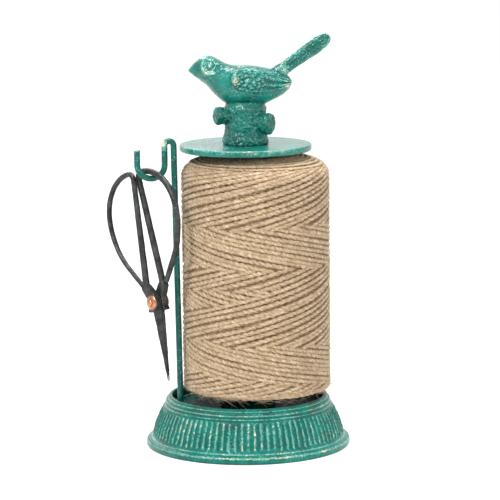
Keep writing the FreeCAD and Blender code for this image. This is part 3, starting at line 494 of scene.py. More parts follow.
def mark_raised(piece, share=6.0, passes=1, wear=None):
    """Write how proud and how hollow each vertex lies, from 0 to 1; the most bent share in 100 count as 1.

    Wear, when given, turns the places and both marks into new ones.
    """
    mesh = piece.data
    points = points_of(piece)
    normals = np.empty(3 * len(points))
    mesh.vertices.foreach_get("normal", normals)
    normals = normals.reshape(-1, 3)
    ends = np.empty(2 * len(mesh.edges), int)
    mesh.edges.foreach_get("vertices", ends)
    first, second = ends.reshape(-1, 2).T
    step = points[second] - points[first]
    length = np.maximum(np.linalg.norm(step, axis=1), 1e-9)
    total = np.zeros(len(points))
    count = np.zeros(len(points))
    for here, way in ((first, 1.0), (second, -1.0)):
        np.add.at(total, here, -way * np.einsum("ij,ij->i", step, normals[here]) / length)
        np.add.at(count, here, 1.0)
    bend = total / np.maximum(count, 1.0)
    for _ in range(passes):
        spread = bend.copy()
        np.add.at(spread, first, bend[second])
        np.add.at(spread, second, bend[first])
        bend = spread / (count + 1.0)
    marks = [np.clip(way / max(np.percentile(way, 100.0 - share), 1e-6), 0.0, 1.0) for way in (bend, -bend)]
    if wear:
        marks = wear(points / MM, *marks)
    for name, mark in zip(("raised", "hollow"), marks):
        write_marks(piece, name, np.clip(mark, 0.0, 1.5))


def rounded(corners, cut):
    """Corners of a line, each replaced by a short curve that starts up to cut before it."""
    corners = [Vector(corner) for corner in corners]
    points = [corners[0]]
    for before, corner, after in zip(corners, corners[1:], corners[2:]):
        start = corner + (before - corner).normalized() * min(cut, 0.45 * (before - corner).length)
        end = corner + (after - corner).normalized() * min(cut, 0.45 * (after - corner).length)
        for step in range(5):
            share = step / 4
            points.append(start.lerp(corner, share).lerp(corner.lerp(end, share), share))
    points.append(corners[-1])
    return points


def resampled(points, step):
    """Points at about even steps along a line through points."""
    made = [points[0]]
    for start, end in zip(points, points[1:]):
        count = max(1, round((end - start).length / step))
        made += [start.lerp(end, (index + 1) / count) for index in range(count)]
    return made


def lathe(name, profile, around, push=None, closed=False):
    """A profile of (radius, height) points turned about Z; push gives a change of radius at a place."""
    rings = len(profile)
    points = []
    for spot in profile:
        radius, height = spot[0], spot[1]
        for step in range(around):
            angle = 2 * math.pi * step / around
            reach = radius + (push(radius, height, angle) if push else 0.0)
            points.append((reach * math.cos(angle), reach * math.sin(angle), height))
    faces = []
    for ring in range(rings if closed else rings - 1):
        low = ring * around
        high = (ring + 1) % rings * around
        for step in range(around):
            after = (step + 1) % around
            faces.append((low + step, low + after, high + after, high + step))
    return mesh_object(name, points, faces)


def swept_frames(path):
    """A sideways and an upward direction at each point of a path, carried along without twisting."""
    headings = [(after - before).normalized() for before, after in zip(path, path[1:])]
    headings.append(headings[-1])
    start = headings[0].orthogonal().normalized()
    frames = []
    for heading in headings:
        start = (start - heading * start.dot(heading)).normalized()
        frames.append((start, heading.cross(start)))
    return frames


def tube(name, path, radius, sides):
    """A round bar along a path; radius is a number or a function of the share of the path's points."""
    points = []
    frames = swept_frames(path)
    for index, (centre, (side, up)) in enumerate(zip(path, frames)):
        reach = radius(index / (len(path) - 1)) if callable(radius) else radius
        for corner in range(sides):
            turn = 2 * math.pi * corner / sides
            points.append(centre + (side * math.cos(turn) + up * math.sin(turn)) * reach)
    return mesh_object(name, points, ring_faces(len(path), sides) + end_faces(len(path), sides))


def arc(centre, radius, start, end, flat, step=0.7 * MM):
    """Points on an arc between angles in degrees, in the plane that flat gives."""
    count = max(4, round(abs(math.radians(end - start)) * radius / step))
    turns = [math.radians(start + (end - start) * index / count) for index in range(count + 1)]
    return [flat(centre[0] + radius * math.cos(turn), centre[1] + radius * math.sin(turn)) for turn in turns]


def joined_and_fused(name, pieces, voxel, smoothing):
    """One skin over several closed pieces, as a casting or a forging has, without their inner walls."""
    points = []
    faces = []
    for piece in pieces:
        start = len(points)
        points += [vertex.co.copy() for vertex in piece.data.vertices]
        faces += [tuple(start + index for index in face.vertices) for face in piece.data.polygons]
        bpy.data.objects.remove(piece)
    whole = mesh_object(name + "_parts", points, faces)
    remesh = whole.modifiers.new("skin", "REMESH")
    remesh.mode = "VOXEL"
    remesh.voxel_size = voxel
    relax = whole.modifiers.new("relax", "SMOOTH")
    relax.factor = 0.5
    relax.iterations = smoothing
    evaluated = whole.evaluated_get(bpy.context.evaluated_depsgraph_get())
    mesh = bpy.data.meshes.new_from_object(evaluated)
    bpy.data.objects.remove(whole)
    mesh.name = name
    mesh.polygons.foreach_set("use_smooth", [True] * len(mesh.polygons))
    fused = bpy.data.objects.new(name, mesh)
    bpy.context.collection.objects.link(fused)
    return fused


def move_along_normals(piece, distance):
    """Push each vertex out by what distance gives for its place and normal."""
    moved = [vertex.co + vertex.normal * distance(vertex.co, vertex.normal) for vertex in piece.data.vertices]
    piece.data.vertices.foreach_set("co", [part for point in moved for part in point])
    piece.data.update()


def finish_piece(piece, material, body, slot, *nodes):
    """Material, body, material slot (not used) and the frame's nodes that the piece stands for."""
    piece.data.materials.clear()
    piece.data.materials.append(material)
    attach(piece, body)
    if nodes:
        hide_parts(*nodes)
    return piece


# Base casting: sizes in millimetres, as radius and height
FLUTES = 90
FLUTE_DEPTH = 0.95
FLUTE_LOW = 7.2
FLUTE_HIGH = 24.0
BELL_LOW_RADIUS = 59.8
BELL_HIGH_RADIUS = 53.2
BELL_BULGE = 54.0
BORE = 4.1
BASE_WEAR = [(63.4, 3.9, 0.9, 1.25), (62.8, 1.4, 0.8, 0.35), (47.6, 31.4, 0.9, 0.6), (51.3, 28.3, 0.7, 0.45),
             (60.1, 6.0, 0.7, 0.3)]


def bell_curve(count=34):
    """The bell's convex side, from the top of the flutes down to their foot."""
    low = Vector((BELL_LOW_RADIUS, FLUTE_LOW))
    high = Vector((BELL_HIGH_RADIUS, FLUTE_HIGH))
    middle = (low + high) / 2
    along = (high - low).normalized()
    inwards = Vector((-along.y, along.x))
    centre = middle + inwards * math.sqrt(BELL_BULGE ** 2 - ((high - low).length / 2) ** 2)
    start = math.atan2(high.y - centre.y, high.x - centre.x)
    end = math.atan2(low.y - centre.y, low.x - centre.x)
    curve = []
    for step in range(count + 1):
        turn = start + (end - start) * step / count
        curve.append((centre.x + BELL_BULGE * math.cos(turn), centre.y + BELL_BULGE * math.sin(turn)))
    return curve


def profile_of(corners, cut, step):
    """A rounded and evenly divided profile in metres from corners in millimetres."""
    line = rounded([(radius, height, 0.0) for radius, height in corners], cut)
    return [point * MM for point in resampled(line, step)]


def base_push(radius, height, angle):
    """Flutes on the bell, with uneven ends and lumpy ridges, and the soft waves of a sand casting."""
    place = Vector((radius * math.cos(angle), radius * math.sin(angle), height))
    wave = 0.12 * fractal(place, 14 * MM) + 0.05 * fractal(place, 2.5 * MM, seed=3.0)
    level = height / MM
    if radius < (BELL_HIGH_RADIUS - 3) * MM or not FLUTE_LOW - 2 < level < FLUTE_HIGH + 2:
        return wave * MM
    side = Vector((math.cos(angle), math.sin(angle), 0.0))
    top = FLUTE_HIGH - 0.4 + 0.9 * noise.noise(side * 21)
    foot = FLUTE_LOW + 0.5 + 1.0 * noise.noise(side * 19 + Vector((5, 0, 0)))
    fade = smoothstep(foot - 1.2, foot + 1.2, level) * (1 - smoothstep(top - 0.9, top + 0.9, level))
    sway = 0.5 * noise.noise(Vector((side.x * 9, side.y * 9, level / 6)))
    ridge = (0.5 + 0.5 * math.cos(FLUTES * angle + sway)) ** 0.75
    lumps = 0.32 * fractal(place, 1.9 * MM, seed=7.0) * ridge
    return (wave + fade * (FLUTE_DEPTH * (ridge - 1) + lumps)) * MM


def base_wear_and_shade(spots, raised, hollow):
    """More rubbing on the foot's upper edge, the rim and the shoulder bead, and painted shade in the recess
    and, at half strength, in the other hollows.
    """
    radius = np.hypot(spots[:, 0], spots[:, 1])
    front = 0.5 - 0.5 * spots[:, 1] / np.maximum(radius, 1.0)
    worn = raised * np.where(radius < 46.0, 0.3, 1.0)
    for place, level, reach, amount in BASE_WEAR:
        near = np.exp(-((radius - place) ** 2 + (spots[:, 2] - level) ** 2) / reach ** 2)
        worn += amount * near * (0.45 + 0.55 * front)
    # Painted shade: the whole recess under the spool at full strength, the other hollows at half
    return worn, np.maximum(hollow * 0.5, (radius < 47.0) * (spots[:, 2] > 22.0))


def make_base(enamel):
    outside = profile_of([
        (BORE, base_high.z / MM), (16.0, 34.2), (17.6, 25.0), (46.6, 25.0), (47.3, 31.4), (48.9, 31.5),
        (49.6, 30.9), (49.6, 29.7), (50.9, 29.3), (51.3, 28.3), (50.9, 27.5), (51.9, 26.6), (51.6, 25.3),
        (52.4, 24.9), (53.2, 24.4)], 0.4, 0.55)
    foot = profile_of([
        (59.9, 6.7), (60.2, 5.6), (61.6, 5.1), (63.1, 4.3), (FOOT / MM, 3.2), (FOOT / MM, 0.8), (62.8, 0.0),
        (59.9, 0.0)], 0.5, 0.5)
    under = profile_of([
        (59.9, 0.2), (56.7, 5.8), (50.1, 21.0), (12.4, 21.0), (11.0, 15.0), (BORE, 15.0)], 0.8, 2.0)
    bell = [Vector((radius, height, 0.0)) * MM for radius, height in bell_curve()]
    base = lathe("base", outside + bell + foot + under, 8 * FLUTES, base_push, closed=True)
    mark_raised(base, 9.0, wear=base_wear_and_shade)
    finish_piece(base, enamel, "root", "green_enamel", "base_casting")


def make_plate(enamel):
    low = plate_low.z / MM
    high = plate_high.z / MM
    edge = plate_high.x / MM
    profile = profile_of([
        (BORE, low), (edge - 0.5, low), (edge, low + 0.5), (edge, high - 0.5), (edge - 0.5, high),
        (BORE, high)], 0.35, 0.9)

    def push(radius, height, angle):
        place = Vector((radius * math.cos(angle), radius * math.sin(angle), height))
        return 0.1 * MM * fractal(place, 5 * MM)

    def wear(spots, raised, hollow):
        front = 0.5 - 0.5 * spots[:, 1] / edge
        upper = spots[:, 2] > (low + high) / 2
        rim = upper * (np.hypot(spots[:, 0], spots[:, 1]) > edge - 1.2)
        # Hollows get painted shade at half strength
        return raised * np.where(upper, 0.3 + 0.4 * front, 0.2) + 0.2 * rim * front ** 2, hollow * 0.5

    plate = lathe("plate", profile, 320, push, closed=True)
    mark_raised(plate, 5.0, wear=wear)
    finish_piece(plate, enamel, "plate", "green_enamel", "top_plate")


# Bird: places in millimetres above the plate's top, -X towards the beak
BIRD_STATIONS = [
    (-34.8, 45.9, 45.2, 0.4), (-33.0, 48.0, 43.6, 1.9), (-31.3, 49.8, 42.2, 3.4), (-28.9, 52.3, 40.6, 5.4),
    (-26.2, 53.8, 38.5, 7.2), (-23.4, 54.5, 36.2, 8.4), (-20.0, 54.0, 32.3, 9.3), (-16.0, 52.0, 28.3, 10.1),
    (-12.0, 49.8, 25.4, 11.0), (-6.0, 48.3, 23.9, 11.8), (0.0, 48.3, 23.6, 12.0), (6.0, 47.9, 23.8, 11.5),
    (12.0, 46.8, 24.8, 10.1), (17.0, 45.8, 27.1, 8.4), (21.2, 44.6, 29.1, 6.4), (25.0, 42.8, 31.6, 4.4),
    (27.4, 41.0, 34.2, 2.8), (28.4, 38.6, 36.2, 1.0),
]
TAIL_ROOT = Vector((18.0, 0.0, 42.2))
TAIL_TIP = Vector((52.0, 0.0, 66.1))
TAIL_SHARES = [(0.0, 4.6, 3.6), (0.25, 4.1, 3.2), (0.5, 4.3, 2.9), (0.72, 4.7, 2.7), (0.88, 4.2, 2.3),
               (0.96, 3.0, 1.6), (1.0, 1.3, 0.8)]
WING_STATIONS = [(-8.5, 40.6, 2.0), (-7.0, 40.6, 4.6), (-4.0, 40.4, 6.3), (2.0, 39.8, 7.4), (9.0, 38.9, 7.2),
                 (16.0, 38.2, 5.6), (22.0, 38.0, 3.8), (27.0, 38.2, 1.9), (28.6, 38.3, 0.6)]
EYE = Vector((-21.4, 0.0, 49.0))
EYE_RING = 4.7
BIRD_VOXEL = 0.42
BIRD_SMOOTHING = 3
WEAR = [(-6.0, 41.0, 2.0, 4.4, 1.05), (24.5, 45.6, 2.8, 3.6, 1.15), (26.5, 35.5, 3.4, 2.2, 0.9),
        (-25.0, 46.8, 2.4, 3.6, 1.0), (-34.2, 45.8, 1.0, 1.2, 0.4), (48.0, 64.0, 5.0, 4.0, 0.35),
        (5.0, 39.0, 10.0, 6.5, 0.4), (-21.5, 44.2, 4.2, 1.6, 0.85), (-21.0, 49.0, 1.2, 1.2, 0.7)]


def smooth_row(stations, place):
    """The stations' numbers at a place along the first column, on a smooth curve through them."""
    index = 0
    while index < len(stations) - 2 and stations[index + 1][0] < place:
        index += 1
    before = stations[max(index - 1, 0)]
    start = stations[index]
    end = stations[index + 1]
    after = stations[min(index + 2, len(stations) - 1)]
    share = (place - start[0]) / (end[0] - start[0])
    row = []
    for column in range(1, len(start)):
        slope_in = (end[column] - before[column]) / max(end[0] - before[0], 1e-6) * (end[0] - start[0])
        slope_out = (after[column] - start[column]) / max(after[0] - start[0], 1e-6) * (end[0] - start[0])
        square = share * share
        cube = square * share
        row.append((2 * cube - 3 * square + 1) * start[column] + (cube - 2 * square + share) * slope_in
                   + (3 * square - 2 * cube) * end[column] + (cube - square) * slope_out)
    return row


def loft(name, sections, count=40):
    """A closed skin over sections given as (centre, sideways half, upward half)."""
    points = []
    for centre, side, up in sections:
        for corner in range(count):
            turn = 2 * math.pi * corner / count
            full = 1.0 + 0.04 * abs(math.sin(2 * turn))
            points.append(centre + side * (full * math.cos(turn)) + up * (full * math.sin(turn)))
    faces = ring_faces(len(sections), count) + end_faces(len(sections), count)
    return mesh_object(name, [point * MM for point in points], faces)


def bird_trunk():
    first = BIRD_STATIONS[0][0]
    last = BIRD_STATIONS[-1][0]
    sections = []
    for step in range(91):
        reach = first + (last - first) * step / 90
        top, bottom, half = smooth_row(BIRD_STATIONS, reach)
        centre = Vector((reach, 0, (top + bottom) / 2))
        sections.append((centre, Vector((0, half, 0)), Vector((0, 0, (top - bottom) / 2))))
    return loft("trunk", sections)


def bird_tail():
    along = (TAIL_TIP - TAIL_ROOT).normalized()
    up = Vector((-along.z, 0, along.x))
    sections = []
    for step in range(41):
        share = step / 40
        wide, thick = smooth_row(TAIL_SHARES, share)
        centre = TAIL_ROOT.lerp(TAIL_TIP, share)
        sections.append((centre, Vector((0, thick, 0)), up * wide))
    return loft("tail", sections)


def bird_wing(side):
    first = WING_STATIONS[0][0]
    last = WING_STATIONS[-1][0]
    sections = []
    for step in range(61):
        reach = first + (last - first) * step / 60
        middle, half = smooth_row(WING_STATIONS, reach)
        trunk_half = smooth_row(BIRD_STATIONS, min(reach, BIRD_STATIONS[-1][0]))[2]
        out = max(trunk_half - 1.4, 6.2 - 0.08 * max(reach - 18.0, 0.0))
        thick = 0.7 + 2.1 * math.sqrt(max(half, 0.0) / 7.4)
        sections.append((Vector((reach, side * out, middle)), Vector((0, thick, 0)), Vector((0, 0, half))))
    return loft("wing", sections)


def bird_stub(centre, heading, length, radius):
    """A cut branch on the stump: a short bar with a swollen, rounded end."""
    heading = Vector(heading).normalized()
    side = heading.orthogonal().normalized()
    up = heading.cross(side)
    shares = [(0.0, 1.0), (0.5, 0.93), (0.75, 1.0), (0.9, 0.95), (0.97, 0.8), (1.0, 0.55)]
    sections = []
    for share, swell in shares:
        place = Vector(centre) + heading * (length * share)
        sections.append((place, side * radius * swell, up * radius * swell))
    return loft("stub", sections, 24)


def bird_stump():
    profile = profile_of([
        (0.3, 0.0), (14.1, 0.0), (14.1, 3.6), (13.0, 5.4), (12.4, 8.0), (12.9, 14.0), (12.4, 19.0),
        (13.4, 22.0), (11.0, 26.5), (0.3, 26.5)], 1.2, 1.0)
    return lathe("stump", profile, 60, closed=True)


def bird_relief(place, normal):
    """How far the cast surface stands out at a place: bark, feathers, tail grooves, eye and cheek."""
    spot = place / MM
    rough = 0.14 * fractal(spot, 3.0) + 0.08 * fractal(spot, 1.2, seed=2.0)
    side = smoothstep(0.2, 0.6, abs(normal.y))
    bark = 1 - smoothstep(22.5, 25.0, spot.z)
    rough += bark * (0.5 * fractal(spot, 2.2, seed=5.0) + 0.4 * fractal(spot, 4.5, seed=9.0))
    along = (spot.x + 5.0) / 30.0
    wing_middle, wing_half = smooth_row(WING_STATIONS, min(max(spot.x, -8.5), 28.5))
    level = (spot.z - wing_middle) / max(wing_half, 0.8)
    on_wing = side * (1 - smoothstep(0.75, 1.05, abs(level))) * smoothstep(-6.0, -3.5, spot.x)
    if on_wing > 0:
        feathers = 1 - smoothstep(0.50, 0.62, along)
        near = noise.voronoi(Vector((spot.x / 2.7, 0.0, spot.z / 2.1)))[0][0]
        rough += on_wing * feathers * (0.6 - 1.35 * near + 0.3 * fractal(spot, 2.0, seed=6.0))
        quills = math.cos(2 * math.pi * (level * 1.3 + 0.1 * spot.x / 5))
        rough += on_wing * (1 - feathers) * (0.4 * quills + 0.2 * fractal(spot, 1.6, seed=8.0))
    tail_along = (TAIL_TIP - TAIL_ROOT).normalized()
    offset = spot - TAIL_ROOT
    run = offset.dot(tail_along)
    if run > 6 and spot.z > 44:
        across = offset.dot(Vector((-tail_along.z, 0, tail_along.x))) / 4.6
        on_tail = side * smoothstep(6.0, 12.0, run)
        rough -= on_tail * 0.55 * math.exp(-(across / 0.3) ** 2)
        rough += on_tail * 0.3 * math.exp(-((abs(across) - 0.7) / 0.15) ** 2)
        rough += on_tail * 0.28 * fractal(spot, 1.4, seed=11.0)
    toward = Vector((spot.x - EYE.x, 0, spot.z - EYE.z))
    distance = toward.length
    if distance < 8:
        turn = math.atan2(toward.z, toward.x)
        open_side = smoothstep(-0.35, 0.15, math.cos(turn - math.radians(215)))
        rough += side * open_side * 0.55 * math.exp(-((distance - EYE_RING) / 0.9) ** 2)
        rough += side * 0.65 * math.exp(-(distance / 1.3) ** 2)
        rough -= side * 0.25 * math.exp(-((distance - 2.3) / 0.7) ** 2)
    ticks = noise.voronoi(Vector((spot.x / 4.5, 0.0, spot.z / 3.5)))[0][0]
    breast = side * (1 - smoothstep(-8.0, -6.0, spot.x)) * smoothstep(-18.0, -15.0, spot.x)
    rough += breast * 0.35 * (1 - smoothstep(0.0, 0.35, ticks))
    return rough * MM


def bird_wear_and_shade(spots, raised, hollow):
    """Less rubbing on the bark, more on the wing's shoulder and lower edge, the tail's root and the cheek;
    painted shade in the hollows, weaker on the bark.
    """
    spots = spots - np.array([0.0, 0.0, PLATE_TOP / MM])
    across = spots[:, 0]
    height = spots[:, 2]
    worn = raised * np.where(height < 24.0, 0.45, 0.9)
    for place, level, wide, tall, amount in WEAR:
        worn += amount * np.exp(-((across - place) / wide) ** 2 - ((height - level) / tall) ** 2)
    # Painted shade in the hollows, weaker on the bark than on the bird
    return worn, hollow * np.where(height < 24.0, 0.6, 0.8)


def make_bird(enamel):
    pieces = [bird_trunk(), bird_tail(), bird_wing(-1), bird_wing(1), bird_stump(),
              bird_stub((-9.5, -3.0, 17.6), (-1.0, -0.35, 0.05), 10.0, 5.4),
              bird_stub((7.4, -3.5, 13.4), (0.82, -0.52, -0.05), 10.4, 6.4)]
    bird = joined_and_fused("bird", pieces, BIRD_VOXEL * MM, BIRD_SMOOTHING)
    move_along_normals(bird, bird_relief)
    bird.data.transform(Matrix.Translation((0, 0, PLATE_TOP)))
    mark_raised(bird, 6.0, wear=bird_wear_and_shade)
    finish_piece(bird, enamel, "bird", "green_enamel", "bird_finial")


# Hook wire: places in millimetres in the plane of the wire
WIRE_RADIUS = 1.9
HOOK_CENTRE = (-58.0, 177.5)
HOOK_RADIUS = 8.4
HAIRPIN_RADIUS = 2.8
HAIRPIN_HEIGHT = 189.3
HOOK_TIP = 186.7
WIRE_FOOT = (-41.5, 15.4)


def make_hook(enamel):
    forward = (rod_low.y + rod_high.y) / 2

    def flat(across, height):
        return Vector((across * MM, forward, height * MM))

    hairpin = (HOOK_CENTRE[0] + HOOK_RADIUS + HAIRPIN_RADIUS, HAIRPIN_HEIGHT)
    run = (hairpin[0] - WIRE_FOOT[0], hairpin[1] - WIRE_FOOT[1])
    lean = math.degrees(math.atan2(run[1], run[0]) - math.asin(HAIRPIN_RADIUS / math.hypot(*run))) - 90
    path = [flat(*WIRE_FOOT)]
    path += arc(hairpin, HAIRPIN_RADIUS, lean, 180, flat, 0.35)
    path += arc(HOOK_CENTRE, HOOK_RADIUS, 0, -180, flat, 0.8)
    path.append(flat(HOOK_CENTRE[0] - HOOK_RADIUS, HOOK_TIP))
    path = resampled(path, 1.2 * MM)
    hook = tube("hook", path, WIRE_RADIUS * MM, 22)
    soften = hook.modifiers.new("tip", "BEVEL")
    soften.width = 0.35 * MM
    soften.segments = 2
    soften.angle_limit = math.radians(50)
    move_along_normals(hook, lambda place, normal: 0.05 * MM * fractal(place, 3 * MM))
    spots = points_of(hook) / MM
    outer = np.exp(-((spots[:, 0] - hairpin[0] + 3.6) / 2.4) ** 2 - ((spots[:, 2] - 190.5) / 4.5) ** 2)
    tip = np.clip((spots[:, 2] - HOOK_TIP + 0.8) / 0.6, 0.0, 1.0) * (spots[:, 0] < HOOK_CENTRE[0])
    raised = np.maximum(0.1, np.maximum(1.15 * outer, 0.9 * tip))
    write_marks(hook, "raised", raised)
    finish_piece(hook, enamel, "root", "green_wire", "hook_rod")


# Scissors: places in millimetres in their own frame, Y up the handles, Z to the front, the pivot at 0
SCISSORS_LEAN = math.radians(15.0)
HALF_THICKNESS = 4.6
STRAND_FOOT = (5.6, 8.0)
BOW_TOP = 80.5
BOW_CROWN = 4.0
BOW_CROWN_RADIUS = 27.0
BOW_CORNER_RADIUS = 4.3
BOW_SIDE_RADIUS = 45.0
BOW_SIDE_TURN = 41.5
BOW_TAIL = 16.4
BLADE_LENGTH = 49.0
FORGED_VOXEL = 0.34
FORGED_SMOOTHING = 5
BLADE_SET = math.tan(math.radians(3.3))
LUG = [(-3.0, -5.2), (3.6, -5.8), (5.4, -5.4), (4.2, -2.6), (4.4, 2.6), (8.3, 9.0), (7.7, 11.0), (3.3, 11.4),
       (-2.2, 5.2), (-4.1, 1.7), (-4.1, -1.7)]


def scissors_matrix():
    pivot = Vector(joints["blade_pivot"]["pos_m"])
    facing = Vector(joints["blade_pivot"]["axis"]).normalized()
    level = Vector((-facing.y, facing.x, 0.0))
    across = level * math.cos(SCISSORS_LEAN) + Vector((0, 0, math.sin(SCISSORS_LEAN)))
    along = facing.cross(across)
    turn = Matrix((across, along, facing)).transposed()
    return Matrix.Translation(pivot) @ turn.to_4x4() @ Matrix.Scale(MM, 4)


def bow_path(side):
    def flat(across, along):
        return Vector((-side * across, along, side * HALF_THICKNESS / 2))

    corner = (BOW_CROWN, BOW_TOP - BOW_CORNER_RADIUS)
    crown = (BOW_CROWN, BOW_TOP - BOW_CROWN_RADIUS)
    flank = (crown[0] + BOW_CROWN_RADIUS - BOW_SIDE_RADIUS, crown[1])
    run = (corner[0] - STRAND_FOOT[0], corner[1] - STRAND_FOOT[1])
    lean = math.degrees(math.atan2(run[1], run[0]) + math.asin(BOW_CORNER_RADIUS / math.hypot(*run))) + 90
    path = [flat(*STRAND_FOOT)]
    path += arc(corner, BOW_CORNER_RADIUS, lean, 90, flat, 0.7)
    path += arc(crown, BOW_CROWN_RADIUS, 90, 0, flat, 0.9)
    path += arc(flank, BOW_SIDE_RADIUS, 0, -BOW_SIDE_TURN, flat, 0.9)
    heading = (path[-1] - path[-2]).normalized()
    path.append(path[-1] + heading * BOW_TAIL)
    return resampled(path, 0.9)


def bow_radius(side):
    """Thick where the strand leaves the lug, drawn thinner over the top and down to the tail."""
    outer = 1.62 if side > 0 else 1.85

    def radius(share):
        drawn = 2.15 + (outer + 0.12 - 2.15) * smoothstep(0.0, 0.42, share)
        return drawn - 0.22 * smoothstep(0.6, 1.0, share) if share < 0.97 else drawn - 0.3

    return radius


def blade(side):
    """The blade: a flat inner face, a hollow-ground outer face, tapering to the point."""
    points = []
    steps = 24
    for step in range(steps + 1):
        share = step / steps
        drop = -2.0 - (BLADE_LENGTH - 2.0) * share
        half = 3.3 * (1 - 0.90 * share ** 1.15)
        thick = 2.3 * (1 - 0.66 * share)
        middle = drop * BLADE_SET
        inner = side * 0.05
        outline = [(middle + side * half, inner),
                   (middle - side * half, inner),
                   (middle - side * half, side * (0.05 + thick)),
                   (middle - side * half * 0.3, side * (0.05 + thick)),
                   (middle + side * half * 0.4, side * (0.05 + thick * 0.62)),
                   (middle + side * half, side * (0.05 + thick * 0.2))]
        points += [Vector((across, drop, rise)) for across, rise in outline]
    around = len(outline)
    return mesh_object("blade", points, ring_faces(steps + 1, around) + end_faces(steps + 1, around))


def lug(side):
    low = 0.05 if side > 0 else -HALF_THICKNESS
    high = HALF_THICKNESS if side > 0 else -0.05
    corners = [Vector((-side * across, along, 0)) for across, along in LUG]
    points = [corner + Vector((0, 0, level)) for level in (low, high) for corner in corners]
    return mesh_object("lug", points, ring_faces(2, len(corners)) + end_faces(2, len(corners)))


def outward(piece):
    """Turn a closed piece's faces to point out of it."""
    skin = bmesh.new()
    skin.from_mesh(piece.data)
    bmesh.ops.recalc_face_normals(skin, faces=skin.faces)
    skin.to_mesh(piece.data)
    skin.free()
    return piece


def make_half(name, side, iron, body, node):
    place = scissors_matrix()
    bow = tube("bow", bow_path(side), bow_radius(side), 20)
    pieces = [outward(bow), outward(blade(side)), outward(lug(side))]
    half = joined_and_fused(name, pieces, FORGED_VOXEL, FORGED_SMOOTHING)

    def hammered(spot, normal):
        return 0.10 * fractal(spot, 7.0, seed=side) + 0.04 * fractal(spot, 2.0, seed=4.0)

    move_along_normals(half, hammered)
    half.data.transform(place)

    def wear(spots, raised, hollow):
        return raised * np.where(spots[:, 2] < spots[:, 2].min() + 6.0, 0.2, 1.0), hollow

    mark_raised(half, 6.0, wear=wear)
    finish_piece(half, iron, body, "black_iron", node)


def turned_in_place(name, profile, around, body, slot, material, node):
    """A small turned piece on the scissors' pivot axis, drawn as radius and height in millimetres."""
    piece = lathe(name, profile, around, closed=True)
    outward(piece)
    piece.data.transform(scissors_matrix())
    mark_raised(piece)
    finish_piece(piece, material, body, slot, node)


def make_scissors(iron, copper):
    make_half("scissors_rear", -1, iron, "scissors", "scissors_rear_half")
    make_half("scissors_front", 1, iron, "front_blade", "scissors_front_half")
    face = HALF_THICKNESS
    for side, name, node in ((1, "front_dome", "front_washer"), (-1, "rear_dome", "rear_washer")):
        corners = [(2.05, face), (4.6, face), (4.65, face + 0.4), (4.2, face + 0.9), (3.2, face + 1.3),
                   (2.4, face + 1.4), (2.05, face + 1.4)]
        line = resampled(rounded([(radius, side * height, 0.0) for radius, height in corners], 0.4), 0.3)
        turned_in_place(name, line, 48, "scissors", "copper", copper, node)
    top = face + 1.4
    corners = [(0.02, -top - 1.4), (1.2, -top - 1.3), (1.9, -top - 0.8), (2.1, -top), (2.0, -top), (2.0, top),
               (2.1, top), (1.9, top + 0.8), (1.2, top + 1.3), (0.02, top + 1.4)]
    line = resampled(rounded([(radius, height, 0.0) for radius, height in corners], 0.3), 0.4)
    turned_in_place("pivot_rivet", line, 40, "scissors", "copper", copper, "scissors_rivet")


# Twine: sizes in millimetres
TWINE_RADIUS = 1.5
PLY_RADIUS = 1.15
PLY_OFFSET = 0.30
PLY_PITCH = 8.4
FLATTENED = 0.9
TOP_ROUNDING = 9.0
BOTTOM_ROUNDING = 4.4
# Rounds of each rising and falling pass, which together bring the passes back evenly spread
TRAVERSES = 22
RISING_ROUNDS = 2.12
FALLING_ROUNDS = 4.0 + 15.0 / TRAVERSES - RISING_ROUNDS
TRAVERSE_SHARPNESS = 0.985
FRONT = -math.pi / 2
CROWN_OUTER = 42.0
CROWN_INNER = 20.0
CROWN_RISE = 4.5
BURIED = 1.75
LEAN_CHANGES = ((184.0, 0.0), (141.0, 0.0), (116.0, -1.0), (105.0, 4.0), (101.0, 13.0), (68.0, -2.0),
                (47.0, -5.0), (25.0, 0.0))
TWINE_CORNERS = 8
COIL_CORNERS = 6
TOP_COIL_OUTER = 41.6
BOTTOM_COIL_OUTER = 41.0
PACKING_DEPTH = 1.9
FIBRES = 2600
LOW_EDGE_SHARE = 0.16


def wound_spot(run, depth):
    """Radius, height and outward slope on the wound twine, by the run up its side and the depth."""
    radius = SPOOL_RADIUS / MM
    bottom = SPOOL_BOTTOM / MM
    top = SPOOL_TOP / MM
    low_arc = BOTTOM_ROUNDING * math.pi / 2
    straight = top - bottom - BOTTOM_ROUNDING - TOP_ROUNDING
    if run < low_arc:
        turn = run / BOTTOM_ROUNDING
        reach = BOTTOM_ROUNDING - depth
        return (radius - BOTTOM_ROUNDING + reach * math.sin(turn),
                bottom + BOTTOM_ROUNDING - reach * math.cos(turn), math.sin(turn), -math.cos(turn))
    if run < low_arc + straight:
        return radius - depth, bottom + BOTTOM_ROUNDING + run - low_arc, 1.0, 0.0
    turn = (run - low_arc - straight) / TOP_ROUNDING
    reach = TOP_ROUNDING - depth
    return (radius - TOP_ROUNDING + reach * math.cos(turn), top - TOP_ROUNDING + reach * math.sin(turn),
            math.cos(turn), math.sin(turn))


def rising_on_top(height, angle):
    """Above 0 where the strands that rise to the right lie outermost, below 0 where the falling ones do."""
    across = math.sin(angle - FRONT)
    ragged = 2.2 * noise.noise(Vector((math.cos(angle) * 2, math.sin(angle) * 2, height / 30)))
    value = -1.0
    for index, (change, tilt) in enumerate(LEAN_CHANGES):
        way = 1 if index % 2 == 0 else -1
        value += 2 * way * smoothstep(-2.2, 2.2, change + tilt * across + ragged - height)
    return value


